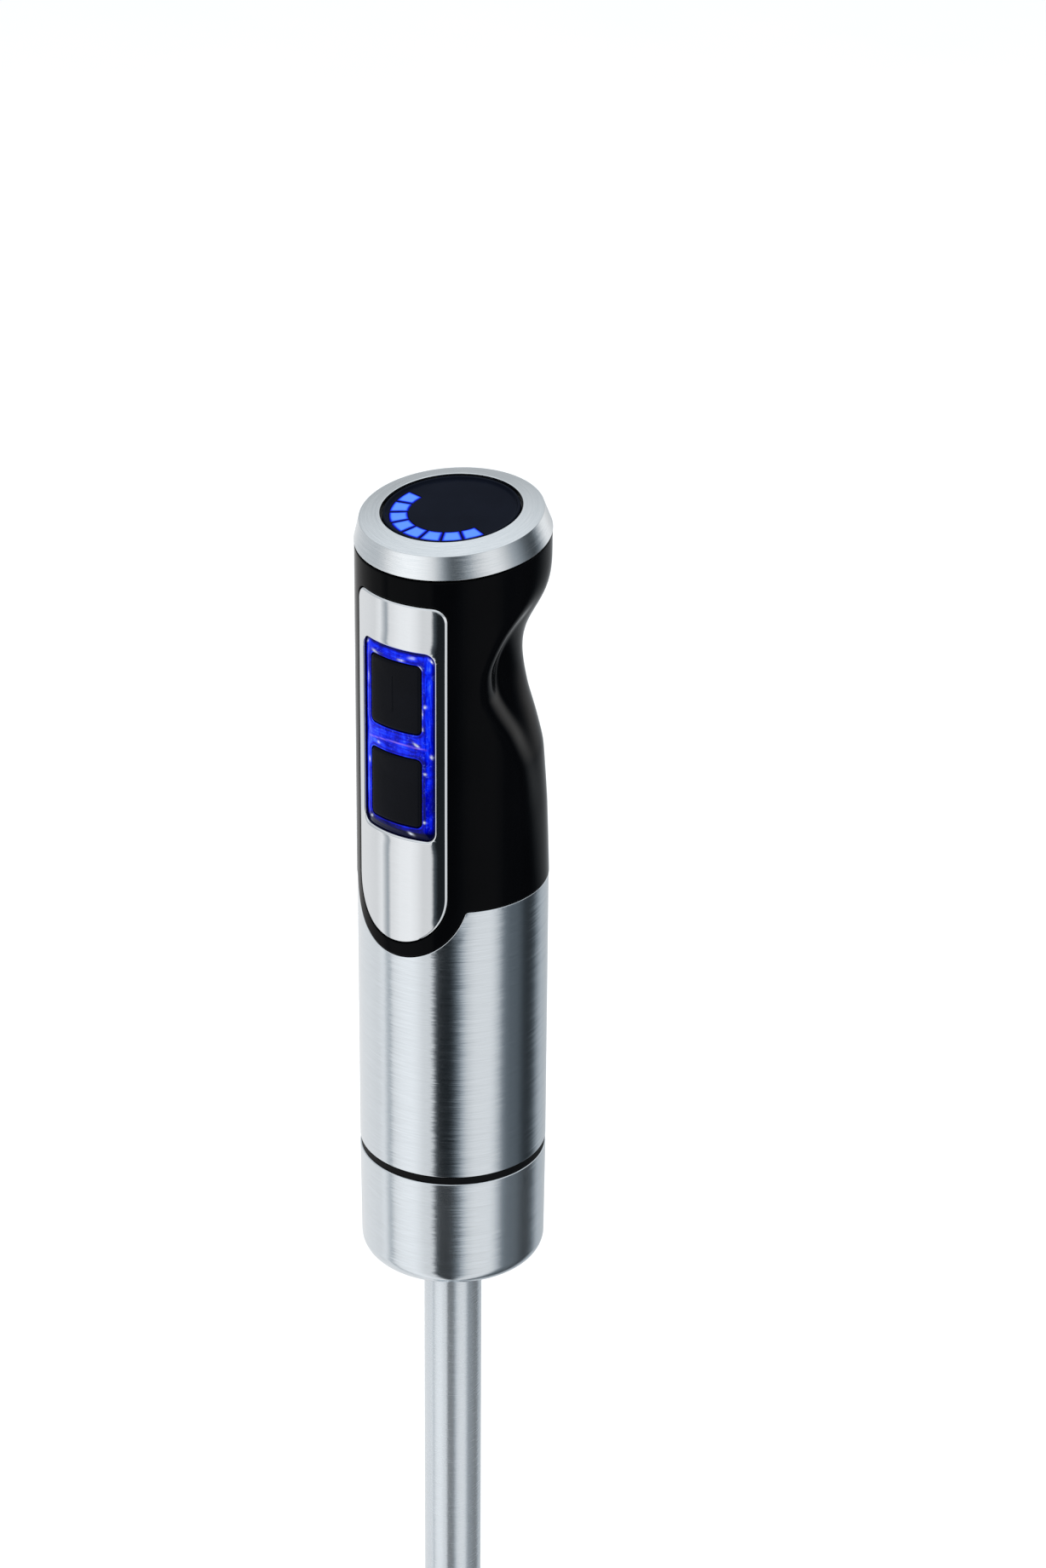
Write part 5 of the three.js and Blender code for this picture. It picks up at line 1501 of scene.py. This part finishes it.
# ------------------------------------------------------------------ materials of the CAD nodes that stay
by_slot = {}
for n in ("motor_shaft", "drive_shaft", "upper_bearing", "lower_bearing", "blade", "blade_collar", "blade_nut"):
    by_slot[n] = "bright_steel"
NODE_MATERIAL = {
    "dial_hub": "black_nylon", "dial_magnet": "screw_steel", "dial_chassis": "black_nylon",
    "display_board": "circuit_board", "button_board": "circuit_board", "control_board": "circuit_board",
    "button_led": "white_plastic", "upper_switch": "switch_black", "lower_switch": "switch_black",
    "upper_switch_plunger": "white_plastic", "lower_switch_plunger": "white_plastic",
    "suppression_capacitor": "white_plastic", "upper_motor_bracket": "white_plastic",
    "lower_motor_bracket": "white_plastic", "field_stack": "lamination_steel", "armature_core": "lamination_steel",
    "field_coil_left": "copper_wire", "field_coil_right": "copper_wire", "armature_winding_lower": "copper_wire",
    "armature_winding_upper": "copper_wire", "commutator": "copper_bar", "brush_holder_left": "brass_part",
    "brush_holder_right": "brass_part", "carbon_brush_left": "carbon", "carbon_brush_right": "carbon",
    "motor_screw_1": "screw_steel", "motor_screw_2": "screw_steel", "end_cap_screw_1": "screw_steel",
    "end_cap_screw_2": "screw_steel", "drive_end_cap": "black_nylon", "spigot_o_ring": "black_rubber",
    "cord_gland": "black_rubber", "cooling_fan": "black_nylon", "drive_coupling": "white_plastic",
    "driven_coupling": "white_plastic", "cup_insert": "black_nylon", "upper_shaft_bush": "brass_part",
    "lower_shaft_bush": "brass_part", "shaft_seal": "black_rubber", "bell_guard": "brushed_steel",
}
NODE_MATERIAL.update(by_slot)
for name, ob in NODES.items():
    key = NODE_MATERIAL.get(name)
    if key is None:
        key = {"handle_shell": "black_gloss", "steel_sleeve": "brushed_steel", "front_trim_plate": "trim_metal",
               "button_light_frame": "lit_clear", "upper_button": "button_black", "lower_button": "button_black",
               "dial_ring": "satin_aluminium", "display_disc": "display_black", "level_light_guide": "level_light",
               "coupling_ring": "black_rubber", "leg_cup": "cup_steel", "leg_tube": "tube_steel"}[name]
    if len(ob.material_slots) == 0:
        ob.data.materials.append(M[key])
    for sl in ob.material_slots:
        sl.material = M[key]

# ------------------------------------------------------------------ floor, light, camera
me = bpy.data.meshes.new("floor")
me.from_pydata([(-9, -9, 0), (9, -9, 0), (9, 9, 0), (-9, 9, 0)], [], [(0, 1, 2, 3)])
me.materials.append(FLOOR)
floor = bpy.data.objects.new("floor", me)
scene.collection.objects.link(floor)
floor.visible_glossy = False

VIEW_AZ = math.atan2(-1008.077, 773.525)
world = bpy.data.worlds.new("studio")
scene.world = world
world.use_nodes = True
nt = world.node_tree
nt.nodes.clear()
w_out = nt.nodes.new("ShaderNodeOutputWorld")
w_bg = nt.nodes.new("ShaderNodeBackground")
nt.links.new(w_bg.outputs[0], w_out.inputs[0])
w_co = nt.nodes.new("ShaderNodeTexCoord")
w_sep = nt.nodes.new("ShaderNodeSeparateXYZ")
nt.links.new(w_co.outputs["Generated"], w_sep.inputs[0])


def w_math(op, a, b=None, clamp=False):
    n = nt.nodes.new("ShaderNodeMath")
    n.operation = op
    n.use_clamp = clamp
    for s, v in zip(n.inputs, (a, b)):
        if v is None:
            continue
        if hasattr(v, "is_output"):
            nt.links.new(v, s)
        else:
            s.default_value = v
    return n.outputs[0]


phi = w_math("ARCTAN2", w_sep.outputs[1], w_sep.outputs[0])
part = w_math("FRACT", w_math("ADD", w_math("MULTIPLY", w_math("SUBTRACT", phi, VIEW_AZ), 0.5 / math.pi), 1.5))


def w_ramp(stops):
    """brightness by degrees from the camera; dark places are bluer"""
    n = nt.nodes.new("ShaderNodeValToRGB")
    nt.links.new(part, n.inputs[0])
    els = n.color_ramp.elements
    while len(els) < len(stops):
        els.new(1.0)
    for e, (deg, v) in zip(els, stops):
        k = min(1.0, v / 0.8)
        e.position = 0.5 + deg / 360.0
        e.color = (v * (0.82 + 0.18 * k), v, v * (1.16 - 0.16 * k), 1)
    return n.outputs[0]


def w_mix(lo, hi, a, b):
    """a below the height lo, b above hi"""
    n = nt.nodes.new("ShaderNodeMapRange")
    n.interpolation_type = "SMOOTHSTEP"
    nt.links.new(w_sep.outputs[2], n.inputs["Value"])
    n.inputs["From Min"].default_value = lo
    n.inputs["From Max"].default_value = hi
    x = nt.nodes.new("ShaderNodeMix")
    x.data_type = "RGBA"
    nt.links.new(n.outputs[0], x.inputs[0])
    nt.links.new(a, x.inputs[6])
    nt.links.new(b, x.inputs[7])
    return x.outputs[2]


# soft boxes and the dark gaps between them, low down (seen by the walls) and level (seen by the dial's side)
LOW = [(-180, 0.70), (-164, 0.89), (-120, 0.885), (-104, 0.85), (-94, 1.0), (-89, 0.66), (-84, 0.42), (-80, 0.90),
       (-66, 1.05), (-52, 1.08), (-44, 0.99), (-36, 0.83), (-25.5, 0.84), (-23, 0.10), (-18, 0.015), (-4, 0.018),
       (2, 0.075), (8, 0.28), (12, 0.54), (18, 0.76), (27, 0.89), (48, 0.90), (56, 0.66), (64, 0.22), (72, 0.14),
       (86, 0.12), (97, 0.045), (107, 0.035), (116, 0.085), (124, 0.30), (134, 0.52), (180, 0.64)]
LEVEL = [(-180, 0.60), (-96, 0.62), (-88, 0.72), (-80, 0.91), (-72, 1.07), (-60, 1.22), (-44, 1.24), (-32, 1.10),
         (-24, 0.94), (-16, 0.58), (-10, 0.25), (-4, 0.09), (2, 0.08), (8, 0.15), (16, 0.38), (24, 0.70), (34, 0.95),
         (44, 1.06), (52, 0.98), (60, 0.74), (68, 0.48), (78, 0.28), (87, 0.12), (97, 0.05), (104, 0.07), (111, 0.26),
         (119, 0.66), (128, 0.98), (138, 1.0), (150, 0.80), (180, 0.62)]
rise = w_math("ADD", w_math("MULTIPLY", w_sep.outputs[2], 0.70), 0.365)
tone = nt.nodes.new("ShaderNodeCombineColor")
for k, f in enumerate((0.965, 1.0, 1.025)):
    nt.links.new(w_math("MULTIPLY", rise, f), tone.inputs[k])
sky = w_mix(0.02, 0.22, w_mix(-0.36, -0.20, w_ramp(LOW), w_ramp(LEVEL)), tone.outputs[0])
nt.links.new(sky, w_bg.inputs[0])
w_bg.inputs[1].default_value = 1.0

# wide soft lamp overhead that fills the shadows without showing in the metal
lamp_data = bpy.data.lights.new("soft_box", "AREA")
lamp_data.shape = "SQUARE"
lamp_data.size = 3.0
lamp_data.energy = 48.0
lamp = bpy.data.objects.new("soft_box", lamp_data)
scene.collection.objects.link(lamp)
lamp.location = (0.0, 0.0, 3.0)
lamp.visible_glossy = False
lamp.visible_camera = False

cam_data = bpy.data.cameras.new("camera")
cam_data.sensor_fit = "AUTO"
cam_data.sensor_width = 36.0
cam_data.lens = 107.61
cam_data.clip_start = 0.05
cam_data.clip_end = 60.0
camera = bpy.data.objects.new("camera", cam_data)
scene.collection.objects.link(camera)
right = Vector((0.80125507, 0.59828121, 0.00706512))
up = Vector((-0.26961229, 0.35048965, 0.89692041))
away = Vector((-0.53413438, 0.72056686, -0.44213558))
camera.matrix_world = Matrix(((right.x, up.x, -away.x, 0.773525), (right.y, up.y, -away.y, -1.008077),
                              (right.z, up.z, -away.z, 0.955465), (0, 0, 0, 1)))
scene.camera = camera
